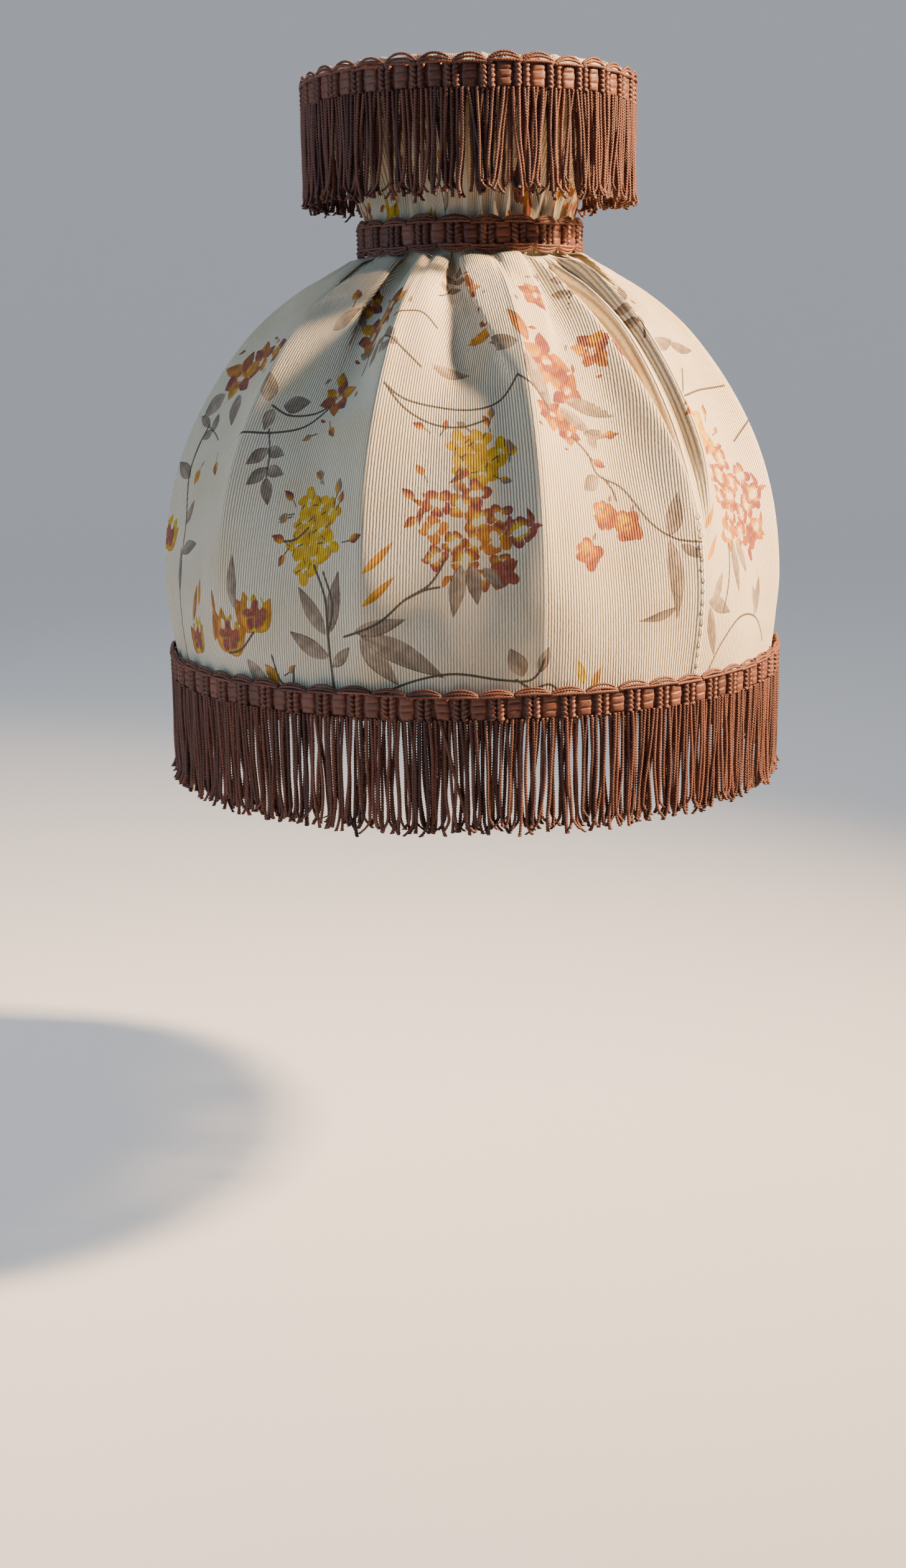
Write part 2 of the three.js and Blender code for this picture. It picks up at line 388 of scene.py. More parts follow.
class Outline:
    """A profile in radius and height, looked up by the length along it from its first point.

    The points before first are a hem, at negative lengths."""

    def __init__(self, points, first=0):
        steps = 24
        self.curve = smooth_curve(points, steps)
        runs = np.hypot(*np.diff(self.curve, axis=0).T)
        self.lengths = np.concatenate([[0], np.cumsum(runs)])
        self.lengths -= self.lengths[first * steps]
        self.length = self.lengths[-1]
        self.hem = -self.lengths[0]

    def at(self, length):
        radius = np.interp(length, self.lengths, self.curve[:, 0])
        return radius, np.interp(length, self.lengths, self.curve[:, 1])

    def normal(self, length):
        r0, z0 = self.at(length - 1)
        r1, z1 = self.at(length + 1)
        run = np.hypot(r1 - r0, z1 - z0)
        return (z1 - z0) / run, (r0 - r1) / run


def grid_quads(rows, columns, closed=False, ring=False):
    """The faces of a grid of points.

    closed joins the last column to the first, and ring the last row to the first."""
    row = np.arange(rows - 1)[:, None] * columns
    column = np.arange(columns if closed else columns - 1)[None, :]
    here = row + column
    after = row + (column + 1) % columns
    quads = np.stack([here, after, after + columns, here + columns], axis=-1).reshape(-1, 4)
    if ring:
        first = np.arange(columns)
        last = first + (rows - 1) * columns
        seam = np.stack([last, np.roll(last, -1), np.roll(first, -1), first], axis=-1)
        quads = np.vstack([quads, seam])
    return quads


def slopes(path):
    """The unit direction of a path at each of its points."""
    slope = np.gradient(path, axis=0)
    return slope / np.linalg.norm(slope, axis=1)[:, None]


def outwards(bearing):
    return place_round(np.ones(1), bearing, 0)[0]


def upright_frame(path, bearing):
    """Two directions square to a path that stays near one bearing: sideways, and across it."""
    side = np.cross([0, 0, 1.0], outwards(bearing))
    return side, np.cross(slopes(path), side)[:, None, :]


def join_meshes(parts):
    """Joins (points, faces, values) parts into one; values is a dict of arrays, one row per point."""
    points = np.vstack([part[0] for part in parts])
    starts = np.cumsum([0] + [len(part[0]) for part in parts[:-1]])
    faces = np.vstack([part[1] + start for part, start in zip(parts, starts)])
    values = {key: np.concatenate([part[2][key] for part in parts]) for key in parts[0][2]}
    return points, faces, values


VALUE_KINDS = {1: ("FLOAT", "value"), 3: ("FLOAT_VECTOR", "vector"), 4: ("FLOAT_COLOR", "color")}


def make_piece(name, points, faces, values, material, nodes=()):
    mesh = bpy.data.meshes.new(name)
    mesh.vertices.add(len(points))
    mesh.vertices.foreach_set("co", (np.asarray(points) * MM).astype(np.float32).ravel())
    mesh.loops.add(faces.size)
    mesh.loops.foreach_set("vertex_index", faces.astype(np.int32).ravel())
    mesh.polygons.add(len(faces))
    mesh.polygons.foreach_set("loop_start", np.arange(0, faces.size, 4, dtype=np.int32))
    mesh.update(calc_edges=True)
    mesh.polygons.foreach_set("use_smooth", np.ones(len(faces), dtype=bool))
    for key, array in values.items():
        kind, field = VALUE_KINDS[1 if array.ndim == 1 else array.shape[1]]
        layer = mesh.attributes.new(key, kind, "POINT")
        layer.data.foreach_set(field, array.astype(np.float32).ravel())
    mesh.materials.append(material)
    piece = bpy.data.objects.new(name, mesh)
    bpy.context.collection.objects.link(piece)
    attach(piece, "root")
    if nodes:
        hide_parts(*nodes)
    return piece


# ---------------------------------------------------------------- print

# What each ink lets through, in linear red, green and blue
YELLOW = np.array([1.0, 0.69, 0.0])
DEEP_YELLOW = np.array([0.92, 0.54, 0.0])
AMBER = np.array([0.88, 0.42, 0.02])
ORANGE = np.array([0.68, 0.25, 0.03])
RUST = np.array([0.44, 0.12, 0.06])
WINE = np.array([0.37, 0.085, 0.10])
LEAF = np.array([0.47, 0.405, 0.39])
DARK_LEAF = np.array([0.37, 0.315, 0.31])
PALE_LEAF = np.array([0.57, 0.50, 0.475])

EDGE = 0.8  # how far a shape's edge takes to fade
SPIRAL = 2.4  # radians from one floret of a head to the next


def within(distance):
    """1 within a shape and 0 outside it, with a soft edge."""
    return np.clip(0.5 - distance / EDGE, 0, 1)


def polar(u, v, reach, angle, high=None):
    """The point at an angle on a circle round (u, v), or on an ellipse that is high as well."""
    return u + reach * math.cos(angle), v + (high or reach) * math.sin(angle)


def turned(x, y, way):
    """x and y along and across a direction."""
    return x * math.cos(way) + y * math.sin(way), y * math.cos(way) - x * math.sin(way)


class Print:
    """Ink on a set of cloth points: its colour and cover, and thin dark line work over it."""

    def __init__(self, u, v):
        self.u = u.ravel()
        self.v = v.ravel()
        self.colour = np.zeros((self.u.size, 3))
        self.cover = np.zeros(self.u.size)
        self.line = np.zeros(self.u.size)

    def near(self, u, v, reach):
        """The points near (u, v), and where they are from it."""
        found = np.flatnonzero((np.abs(self.u - u) < reach) & (np.abs(self.v - v) < reach))
        return found, self.u[found] - u, self.v[found] - v

    def lay(self, found, distance, colour):
        """Covers the points inside a shape, whose distance is negative inside."""
        cover = within(distance)
        under = self.cover[found]
        share = np.where(cover > 0, 1 - (1 - cover) * under, 0)[:, None]
        wash = 1 + 0.16 * np.sin(self.u[found] * 0.9 + 2 * np.sin(self.v[found] * 0.7))[:, None]
        self.colour[found] = self.colour[found] * (1 - share) + np.clip(colour * wash, 0, 1) * share
        self.cover[found] = np.maximum(under, cover)

    def bare(self, found, distance):
        """Leaves the cloth unprinted inside a shape."""
        self.cover[found] *= 1 - within(distance)

    def stroke(self, points, width=0.6, dark=1.0):
        """A thin dark line along a smooth curve through the points."""
        path = smooth_curve(points, 8)
        middle = (path.min(axis=0) + path.max(axis=0)) / 2
        reach = np.ptp(path, axis=0).max() / 2 + 2
        found, x, y = self.near(middle[0], middle[1], reach)
        if not found.size:
            return
        here = np.stack([x, y], axis=1) + middle
        best = np.full(found.size, 9.0)
        for start, end in zip(path, path[1:]):
            step = end - start
            t = np.clip((here - start) @ step / max(step @ step, 1e-9), 0, 1)[:, None]
            best = np.minimum(best, np.linalg.norm(here - start - t * step, axis=1))
        cover = within(best - width / 2) * dark
        self.line[found] = np.maximum(self.line[found], cover)

    def petals(self, u, v, radius, inner, outer, turn=0.0, count=5, eye=0.28, shade=0.0, cut=0.0):
        """A ragged flower: petals round a bare eye, turning from the inner colour to the outer one.

        shade is how much the lower right side takes the outer colour as well, and cut how wide the
        bare clefts between the petals are."""
        found, x, y = self.near(u, v, radius * 1.25)
        away = np.hypot(x, y) + 1e-6
        angle = np.arctan2(y, x) + turn
        cleft = np.abs(np.cos(angle * count / 2))
        rim = radius * (0.62 + 0.38 * cleft**0.5) * (1 + 0.14 * np.sin(3.7 * angle + 5 * turn))
        hole = radius * eye * (1 + 0.45 * np.sin(2 * angle + 3 * turn))
        slit = cut - away * cleft * 1.6 / count
        distance = np.maximum(np.maximum(away - rim, hole - away), slit)
        share = np.clip((away / rim - 0.45) / 0.4, 0, 1) + shade * np.clip(0.3 + (x - y) / radius, 0, 1)
        share = np.clip(share, 0, 1)[:, None]
        if eye:
            self.bare(found, away - hole)
        self.lay(found, distance, inner * (1 - share) + outer * share)

    def leaf(self, u, v, length, width, angle, bend=0.0, colour=LEAF, vein=0.8):
        """A pointed leaf from (u, v), its midrib curving by bend."""
        way = angle * DEGREE
        middle_x, middle_y = polar(0, 0, length / 2, way)
        found, x, y = self.near(u + middle_x, v + middle_y, length * 0.75 + 2)
        x = x + middle_x
        y = y + middle_y
        along, aside = turned(x, y, way)
        along = along / length
        aside = aside - bend * length * along**2
        half = width / 2 * np.sin(math.pi * np.clip(along, 0, 1) ** 0.8)
        beyond = np.maximum(np.maximum(-along, along - 1), 0) * length
        distance = np.where(beyond > 0, np.maximum(np.abs(aside) - half, beyond), np.abs(aside) - half)
        tone = (0.80 + 0.45 * np.clip(along, 0, 1) + 0.25 * (aside < 0))[:, None]
        self.lay(found, distance, np.clip(colour[None, :] / tone, 0, 1))
        if vein:
            edge = within(np.abs(distance + 0.2) - 0.16) * (aside < 0.2 * half) * vein
            rib = within(np.abs(aside) - 0.1) * (beyond <= 0) * (half > 0.7) * vein * 0.8
            self.line[found] = np.maximum(self.line[found], np.maximum(edge, rib))

    def oval(self, u, v, width, height, colour, angle=0.0):
        found, x, y = self.near(u, v, max(width, height))
        a, b = turned(x, y, angle * DEGREE)
        scale = np.hypot(a / width, b / height) * 2
        self.lay(found, (scale - 1) * min(width, height) / 2, colour)


def yellow_cluster(cloth, u, v, width, height, count, seed):
    """Yellow florets with bare eyes, dark ticks between them and a few rusty buds round them."""
    draw = np.random.default_rng(seed)
    spots = []
    for i in range(count):
        share = 0.43 * math.sqrt((i + 0.35) / count)
        spots.append(polar(u, v, width * share, SPIRAL * i + seed, height * share))
    for x, y in spots:
        size = draw.uniform(4.3, 5.1)
        turn = draw.uniform(0, 6)
        cloth.petals(x, y, size, YELLOW, DEEP_YELLOW, turn, int(draw.integers(4, 6)), 0.20, 0.3)
        cloth.oval(x + 0.3, y - 0.2, 0.8, 0.7, DEEP_YELLOW)
    for x, y in spots:
        for turn in (0, 2.5):
            angle = turn + draw.uniform(0, 2)
            cloth.stroke([polar(x, y, 1.9, angle), polar(x, y, 4.0, angle + 0.3)], 0.35)
    for i in range(6):
        angle = draw.uniform(0, 2 * math.pi)
        x, y = polar(u, v, 0.62 * width, angle, 0.60 * height)
        bud(cloth, x, y, draw.uniform(3.4, 4.8), math.degrees(angle) + 30, RUST if i % 2 else LEAF)


def bud(cloth, u, v, size, angle, colour=RUST):
    """A curled bud on a short stalk, darker along one side."""
    cloth.leaf(u, v, size, size * 0.5, angle, 0.25, colour, vein=0.6)
    cloth.leaf(u, v, size * 0.8, size * 0.3, angle + 38, -0.2, AMBER, vein=0.3)
    cloth.stroke([(u, v), polar(u, v, size * 0.6, (angle + 180) * DEGREE)], 0.35)


def rust_cluster(cloth, u, v, width, height, seed):
    """A loose head of florets with bare eyes, yellow or amber inside and darker at their tips."""
    draw = np.random.default_rng(seed)
    for i in range(9):
        angle = draw.uniform(0, 2 * math.pi)
        x, y = polar(u, v + 0.05 * height, 0.50 * width, angle, 0.50 * height)
        facing = math.degrees(angle)
        cloth.leaf(x, y, draw.uniform(4, 6), 2.2, facing + 75, 0.5, RUST, 0.3)
        cloth.leaf(x, y, draw.uniform(3, 5), 1.9, facing - 25, 0.4, WINE if i % 2 else ORANGE, 0.3)
    count = 14
    for i in range(count):
        share = 0.48 * math.sqrt((i + 0.3) / count)
        x, y = polar(u, v, share * width, SPIRAL * i + seed, share * height)
        x += draw.normal(0, 0.8)
        y += draw.normal(0, 0.8)
        inner = YELLOW if draw.random() < 0.6 else AMBER
        outer = (RUST, WINE, ORANGE)[int(draw.integers(3))]
        size = draw.uniform(4.0, 5.4)
        turn = draw.uniform(0, 6)
        cloth.petals(x, y, size, inner, outer, turn, int(draw.integers(4, 6)), 0.36, 0.45, 0.16)
        for _ in range(2):
            angle = draw.uniform(0, 2 * math.pi)
            cloth.stroke([polar(x, y, 0.5 * size, angle), polar(x, y, 0.9 * size, angle)], 0.25, 0.7)


def blossom(cloth, u, v, radius, seed):
    """A larger ragged flower of curled petals in amber, rust and wine red round a bare heart."""
    draw = np.random.default_rng(seed)
    turn = draw.uniform(0, 360)
    shades = (WINE, AMBER, RUST, ORANGE, WINE, AMBER)
    for i in range(6):
        angle = turn + i * 60 + draw.normal(0, 9)
        start = polar(u, v, 0.22 * radius, angle * DEGREE)
        size = radius * draw.uniform(0.8, 1.2)
        wide = radius * draw.uniform(0.70, 0.95)
        cloth.leaf(*start, size, wide, angle, draw.uniform(-0.4, 0.4), shades[i], 0.55)
    x, y = u + 0.1 * radius, v - 0.1 * radius
    cloth.petals(x, y, radius * 0.5, AMBER, RUST, turn, 4, 0.35, 0.5, 0.15)
    for i in range(3):
        way = (turn + 40 + i * 110) * DEGREE
        tip = polar(u, v, radius * 1.5, way)
        colour = RUST if i else DARK_LEAF
        cloth.leaf(*tip, radius * 0.5, radius * 0.2, math.degrees(way) + 80, 0.3, colour, 0.4)


def tulip(cloth, u, v, size, angle=90, seed=1):
    """An open cup of ragged amber petals round a wine red heart, with bare streaks between them."""
    draw = np.random.default_rng(seed)
    fan = ((-46, AMBER), (48, ORANGE), (-30, YELLOW), (30, AMBER), (-14, AMBER), (12, YELLOW))
    for turn, colour in fan:
        length = size * draw.uniform(0.86, 1.08)
        cloth.leaf(u, v, length, size * 0.54, angle + turn, -0.24 * np.sign(turn), colour, 0.6)
    x, y = polar(u, v, size * 0.40, angle * DEGREE)
    cloth.petals(x, y, size * 0.36, WINE, WINE, seed, 5, 0.0, 0.4)
    cloth.petals(x + size * 0.12, y + size * 0.10, size * 0.24, RUST, WINE, seed + 2, 4, 0.0)
    for side in (-1, 1):
        found, a, b = cloth.near(x + side * size * 0.17, y + size * 0.30, size)
        cloth.bare(found, np.hypot(a * 1.9, b) - size * 0.13)


def fruit(cloth, u, v, size, seed):
    """A rounded stippled fruit, yellow on its upper left and rust below."""
    cloth.petals(u, v, size * 0.58, RUST, RUST, seed, 4, 0.0)
    cloth.oval(u + size * 0.06, v - size * 0.05, size * 0.80, size * 0.84, RUST, 20)
    cloth.petals(u - size * 0.12, v + size * 0.14, size * 0.44, AMBER, ORANGE, seed + 1, 3, 0.0)
    cloth.petals(u - size * 0.18, v + size * 0.26, size * 0.26, YELLOW, AMBER, seed + 2, 3, 0.0)
    draw = np.random.default_rng(seed)
    for _ in range(7):
        x = u + draw.uniform(-0.3, 0.3) * size
        y = v + draw.uniform(-0.4, 0.3) * size
        cloth.oval(x, y, 1.0, 1.0, WINE)
    cloth.leaf(u + size * 0.2, v + size * 0.5, 3, 1.2, 60, 0, DARK_LEAF, 0.4)


def sprig(cloth, u, v, length, angle, pairs=2, size=8.0):
    """A stem with leaves in pairs and one at its tip."""
    way = angle * DEGREE
    tip = polar(u, v, length, way)
    cloth.stroke([(u, v), ((u + tip[0]) / 2 + 1, (v + tip[1]) / 2), tip], 0.45)
    for i in range(pairs):
        joint = polar(u, v, (i + 1) / (pairs + 0.5) * length, way)
        cloth.leaf(*joint, size * 0.85, size * 0.5, angle + 58, 0.1)
        cloth.leaf(*joint, size, size * 0.52, angle - 52, -0.1, DARK_LEAF)
    cloth.leaf(*tip, size * 1.1, size * 0.5, angle, 0.05, DARK_LEAF)


# One repeat of the print is six panels wide. Each entry is drawn in order, in cloth millimetres.
PRINT_REPEAT = 6 * PANEL_CLOTH
leaf, line, petals = Print.leaf, Print.stroke, Print.petals
PRINT = [
    # the panel left of the front rib
    (yellow_cluster, -20, 85, 24, 17, 7, 3),
    (rust_cluster, -22, 59, 36, 34, 5),
    (petals, -13, 46, 4.8, WINE, RUST, 0.4, 5, 0.0),
    (leaf, -26, 49, 17, 5.2, -102, 0.05),
    (leaf, -23, 49, 13, 5.0, -78, -0.05, DARK_LEAF),
    (leaf, -19, 48, 9, 3.6, -52, 0.1),
    (line, [(-64, 26), (-52, 31), (-44, 38), (-36, 43), (-31, 51)]),
    (line, [(-44, 38), (-38, 41), (-33, 42)]),
    (leaf, -58, 27, 30, 7.5, -22, -0.08),
    (leaf, -58, 26, 19, 6.2, -58, 0.1, PALE_LEAF),
    (leaf, -60, 28, 17, 5.0, 8, 0.1),
    (leaf, -57, 36, 14, 2.6, 38, 0.1, AMBER, 0),
    (leaf, -57, 46, 14, 2.6, 42, 0.1, AMBER, 0),
    (line, [(-58, 4), (-46, 11), (-30, 15), (-14, 13), (-4, 13), (0, 20)]),
    (line, [(-9, 13), (-4, 10), (2, 11), (8, 5)]),
    (leaf, -7, 14, 10, 6.0, 110, 0.1, PALE_LEAF),
    (leaf, -2, 15, 9, 3.6, 70, 0.0),
    (line, [(-56, 107), (-48, 103), (-34, 102), (-20, 101), (-11, 103), (-4, 110)]),
    (line, [(-56, 107), (-48, 100), (-38, 96), (-26, 95), (-16, 97)]),
    (bud, -15, 97, 4.5, 70, DARK_LEAF),
    (bud, -40, 94, 4.6, 150, WINE),
    (bud, -33, 94, 4.2, 60),
    (bud, -9, 84, 5.0, 80, DARK_LEAF),
    (bud, -42, 70, 5.2, 130, WINE),
    (bud, -41, 64, 5.2, 210),
    (bud, -39, 78, 4.6, 120, ORANGE),
    (leaf, -24, 134, 12, 5, 20, 0.2, RUST, 0.5),
    (leaf, -27, 128, 16, 5, 12, 0.1, AMBER, 0.5),
    (leaf, -40, 118, 17, 4.5, -18, 0.15, PALE_LEAF),
    (line, [(-60, 134), (-50, 138), (-42, 134)]),
    (line, [(-62, 126), (-54, 122), (-44, 116)]),
    (blossom, -18, 152, 5.5, 21),
    (sprig, -46, 150, 14, 60, 2, 7),
    # the next panel to the left
    (yellow_cluster, -78, 58, 20, 31, 11, 8),
    (line, [(-76, 48), (-71, 38), (-70, 26), (-69, 8)], 0.7),
    (line, [(-72, 46), (-68, 36), (-70, 26)]),
    (leaf, -71, 26, 19, 5.4, 124, 0.05),
    (leaf, -69, 27, 20, 5.4, 84, -0.05, DARK_LEAF),
    (leaf, -70, 19, 17, 5.6, 160, -0.1),
    (leaf, -69, 16, 10, 3.8, 40, 0.1),
    (bud, -90, 55, 5.5, 150),
    (bud, -89, 69, 5.0, 130, WINE),
    (bud, -69, 71, 5.5, 75, DARK_LEAF),
    (bud, -62, 56, 5.0, 10, WINE),
    (line, [(-90, 55), (-85, 56), (-80, 60)]),
    (line, [(-128, 82), (-118, 88), (-104, 91), (-92, 95), (-84, 103)]),
    (line, [(-108, 100), (-100, 98), (-90, 100), (-84, 104)]),
    (blossom, -82, 107, 6.5, 2),
    (leaf, -84, 112, 6, 4, 100, 0, AMBER),
    (leaf, -110, 101, 11, 6.5, 110, 0.1, PALE_LEAF),
    (leaf, -104, 101, 11, 6.5, 12, 0.1, DARK_LEAF),
    (leaf, -107, 99, 8, 4.5, -100, 0.1, PALE_LEAF),
    (sprig, -106, 92, 17, -75, 2, 9),
    (bud, -80, 95, 5, -60),
    (bud, -88, 92, 4, 200, DARK_LEAF),
    (sprig, -74, 116, 12, 95, 1, 7),
    (leaf, -70, 118, 10, 5, 55, 0.1, DARK_LEAF),
    (blossom, -76, 134, 8, 12),
    (blossom, -84, 150, 6.5, 31),
    (bud, -98, 146, 7, 120),
    (leaf, -83, 138, 12, 5, 140, 0.1),
    (blossom, -66, 142, 7, 13),
    (petals, -60, 124, 5.0, DARK_LEAF, LEAF, 0.3, 6, 0.3),
    (leaf, -98, 132, 13, 7, 60, 0.1, PALE_LEAF),
    (tulip, -113, 17, 14, 78),
    (tulip, -99, 25, 13, 96),
    (leaf, -104, 16, 16, 5.4, -52, 0.1),
    (leaf, -108, 32, 18, 4.0, 104, -0.15),
    (line, [(-113, 17), (-106, 19), (-100, 25)]),
    (bud, -91, 9, 8.0, 118, AMBER),
    (bud, -86, 13, 4.0, 30, DARK_LEAF),
    (line, [(-93, 18), (-90, 10), (-85, 9), (-84, 14)]),
    (leaf, -121, 20, 11, 3.0, 80, 0.1, ORANGE),
    (leaf, -119, 29, 9, 2.4, 95, 0.1, ORANGE),
    # the far left panel
    (blossom, -160, 112, 7.5, 4),
    (blossom, -152, 120, 6.5, 5),
    (blossom, -141, 126, 5.5, 15),
    (leaf, -154, 106, 14, 7.5, -64, 0.1, DARK_LEAF),
    (leaf, -163, 104, 12, 6.5, -120, 0.1),
    (sprig, -135, 118, 12, 40, 1, 8),
    (sprig, -153, 88, 10, 160, 1, 7),
    (bud, -146, 80, 6.5, -60),
    (bud, -158, 76, 6.0, -110, AMBER),
    (line, [(-163, 92), (-164, 74), (-158, 56), (-156, 38), (-152, 20), (-149, 6)]),
    (leaf, -163, 72, 10, 5.5, 150, 0.1, DARK_LEAF),
    (leaf, -158, 56, 10, 4.0, 66, 0.1),
    (leaf, -157, 46, 14, 5.0, 30, -0.2, DARK_LEAF),
    (leaf, -155, 32, 17, 3.4, 98, 0.1),
    (tulip, -171, 46, 12, 80, 2),
    (tulip, -136, 14, 12, 100, 2),
    (leaf, -141, 24, 14, 3.4, 70, 0.1, ORANGE),
    (leaf, -135, 30, 10, 3.0, 84, 0.1, AMBER),
    # the panel right of the front rib
    (blossom, 8, 117, 8, 6),
    (blossom, 15, 107, 6.5, 7),
    (blossom, 29, 122, 6.5, 8),
    (leaf, 2, 122, 16, 5, 104, 0.1, ORANGE),
    (leaf, -2, 122, 15, 6, 170, -0.1, DARK_LEAF),
    (leaf, 0, 118, 22, 6.0, -74, 0.08, PALE_LEAF),
    (leaf, 14, 103, 20, 5.5, -10, -0.12),
    (leaf, 11, 100, 15, 5, -40, 0.1, PALE_LEAF),
    (blossom, 7, 97, 4.5, 9),
    (blossom, 13, 91, 4.0, 10),
    (line, [(-4, 110), (2, 104), (6, 98)]),
    (leaf, 28, 91, 9, 4, 172, 0.1),
    (leaf, 24, 86, 7, 4, 110, 0.1, PALE_LEAF),
    (bud, 28, 91, 6.0, -12),
    (bud, 22, 82, 5.5, -40),
    (line, [(14, 90), (20, 84), (23, 77), (32, 72), (40, 60), (48, 54), (57, 52)], 0.55),
    (leaf, 23, 76, 8, 5.5, -152, 0.1, PALE_LEAF),
    (line, [(25, 76), (28, 72), (29, 68)]),
    (fruit, 24, 63, 9, 1),
    (fruit, 32, 59, 9.5, 2),
    (fruit, 16, 51, 8.5, 3),
    (leaf, 46, 55, 14, 5.6, 60, 0.2),
    (leaf, 46, 54, 26, 5.4, -80, -0.12),
    (leaf, 47, 32, 14, 3.0, -150, -0.3, DARK_LEAF),
    (leaf, 50, 52, 9, 3.4, -40, 0.1, DARK_LEAF),
    (leaf, 13, 10, 9, 3.0, 100, 0.1, YELLOW, 0.3),
    (leaf, 16, 9, 7, 2.6, 60, 0.1, AMBER, 0.3),
    (blossom, 10, 146, 6.0, 11),
    (sprig, 26, 140, 15, 70, 2, 7),
    (bud, 42, 132, 7, 100),
    (leaf, 45, 112, 14, 5, 120, 0.1, RUST, 0.5),
    (leaf, 46, 110, 10, 3.5, 40, 0.1, AMBER, 0.5),
    # the next panel to the right
    (yellow_cluster, 80, 91, 24, 20, 7, 6),
    (rust_cluster, 91, 64, 33, 38, 9),
    (petals, 97, 51, 4.4, WINE, RUST, 0.2, 5, 0.0),
    (leaf, 82, 51, 18, 4.6, -94, 0.06),
    (leaf, 85, 51, 13, 4.2, -70, 0.0, PALE_LEAF),
    (line, [(79, 50), (76, 40), (70, 28)]),
    (leaf, 60, 33, 16, 5.4, -12, -0.15),
    (leaf, 62, 32, 13, 4.4, 40, 0.1, PALE_LEAF),
    (leaf, 61, 31, 18, 4.6, -78, 0.1, DARK_LEAF),
    (line, [(63, 8), (70, 18), (82, 25), (96, 23), (104, 14)], 0.55),
    (leaf, 94, 24, 14, 4.4, 64, 0.1),
    (leaf, 96, 24, 11, 3.6, 100, 0.1, PALE_LEAF),
    (leaf, 60, 46, 12, 2.6, 36, 0.1, AMBER, 0),
    (leaf, 60, 56, 12, 2.6, 40, 0.1, AMBER, 0),
    (line, [(76, 98), (86, 106), (94, 114)]),
    (line, [(66, 106), (80, 104), (98, 105), (112, 103)]),
    (bud, 72, 102, 5.0, 110),
    (leaf, 82, 124, 18, 6.0, 10, -0.1),
    (leaf, 68, 158, 16, 5.0, -28, 0.1, AMBER, 0.5),
    (leaf, 70, 154, 12, 3.6, -40, 0.1, RUST, 0.5),
    (leaf, 96, 124, 13, 5, -30, 0.1, DARK_LEAF),
    (blossom, 76, 150, 6.5, 14),
    (sprig, 62, 122, 14, 80, 2, 7),
    (sprig, 100, 142, 13, 110, 2, 7),
    # the right edge, which joins the far left panel of the next repeat
    (yellow_cluster, 132, 52, 16, 25, 7, 11),
    (line, [(132, 42), (134, 28), (138, 6)], 0.7),
    (leaf, 134, 26, 18, 5.2, 126, 0.05),
    (leaf, 135, 24, 17, 5.2, 56, -0.05, DARK_LEAF),
    (line, [(104, 84), (118, 90), (134, 92), (150, 99)]),
    (blossom, 152, 101, 6.5, 16),
    (sprig, 124, 90, 16, -70, 2, 8),
    (leaf, 138, 94, 12, 6, 70, 0.1, PALE_LEAF),
    (fruit, 160, 72, 7, 5),
    (tulip, 160, 16, 13, 90, 4),
    (blossom, 130, 128, 6.5, 17),
    (sprig, 150, 126, 15, 110, 2, 8),
    (blossom, 148, 152, 6, 18),
]


def printed_values(u, v):
    """The weave place, ink and line work at each cloth point."""
    cloth = Print(u, v)
    margin = 36
    for draw, *details in PRINT:
        at = details[0][0][0] if draw is line else details[0]
        for turn in (-1, 0, 1, 2):
            shift = turn * PRINT_REPEAT
            if not cloth.u.min() - margin < at + shift < cloth.u.max() + margin:
                continue
            if draw is line:
                draw(cloth, [(x + shift, y) for x, y in details[0]], *details[1:])
            else:
                draw(cloth, details[0] + shift, *details[1:])
    colour = np.column_stack([cloth.colour, cloth.cover])
    place = np.column_stack([cloth.u, cloth.v, np.zeros(cloth.u.size)])
    return {"cloth": place, "ink": colour, "line": cloth.line}


# ---------------------------------------------------------------- cloth

# Tucks that take up the cloth's fullness at the neck. side 1 lays the left part over the right one and
# -1 the other way. The edge runs from low to top, as shares of the panel's width, and starts at height
# start along the cloth; then come its part of the fullness and how its path bends.
SEAM_TUCK = (1, 0.985, 0.60, 62, 0.62, 1.05)
FRONT_TUCKS = {
    11: [(1, 0.26, 0.30, 148, 0.36, 1.0), (-1, 0.90, 0.36, 106, 0.56, 1.15)],
    0: [(1, 0.30, 0.46, 124, 0.28, 1.0), SEAM_TUCK],
    10: [(1, 0.50, 0.42, 124, 0.62, 1.0), (-1, 0.78, 0.84, 150, 0.24, 1.0)],
    1: [(-1, 0.16, 0.46, 128, 0.50, 1.0), (-1, 0.70, 0.78, 146, 0.30, 1.0)],
    9: [(1, 0.52, 0.52, 146, 0.40, 1.0)],
}
VALLEYS = {
    11: (0.60, 0.34, 96, 5.0, 0.25, 0.30),
    10: (0.76, 0.62, 92, 6.0, 0.36, 0.20),
    0: (0.50, 0.52, 116, 2.6, 0.22, 0.22),
    1: (0.55, 0.60, 120, 2.0, 0.20, 0.20),
    9: (0.70, 0.64, 104, 4.2, 0.28, 0.22),
}
TYPICAL_VALLEY = (0.58, 0.50, 104, 3.6, 0.24, 0.24)
TUCK_RUN = 42
TUCK_LIP = 0.75
SETTLED_ROW = -12  # the row near the neck whose tucks set where the columns of cloth points lie


def panel_tucks(panel):
    if panel in FRONT_TUCKS:
        return FRONT_TUCKS[panel]
    draw = np.random.default_rng(40 + panel)
    first = (1, draw.uniform(0.25, 0.4), draw.uniform(0.34, 0.44), draw.uniform(112, 140), 0.45, 1.0)
    second = (-1, draw.uniform(0.62, 0.86), draw.uniform(0.54, 0.66), draw.uniform(112, 146), 0.40, 1.0)
    return [first, second]


def ridge_profile(share):
    """0 at the ribs and 1 half way between them, rounded over the wire."""
    near = np.minimum(share, 1 - share)
    near = np.sqrt(near**2 + RIDGE_ROUNDING**2) - RIDGE_ROUNDING
    return 4 * near * (1 - near)


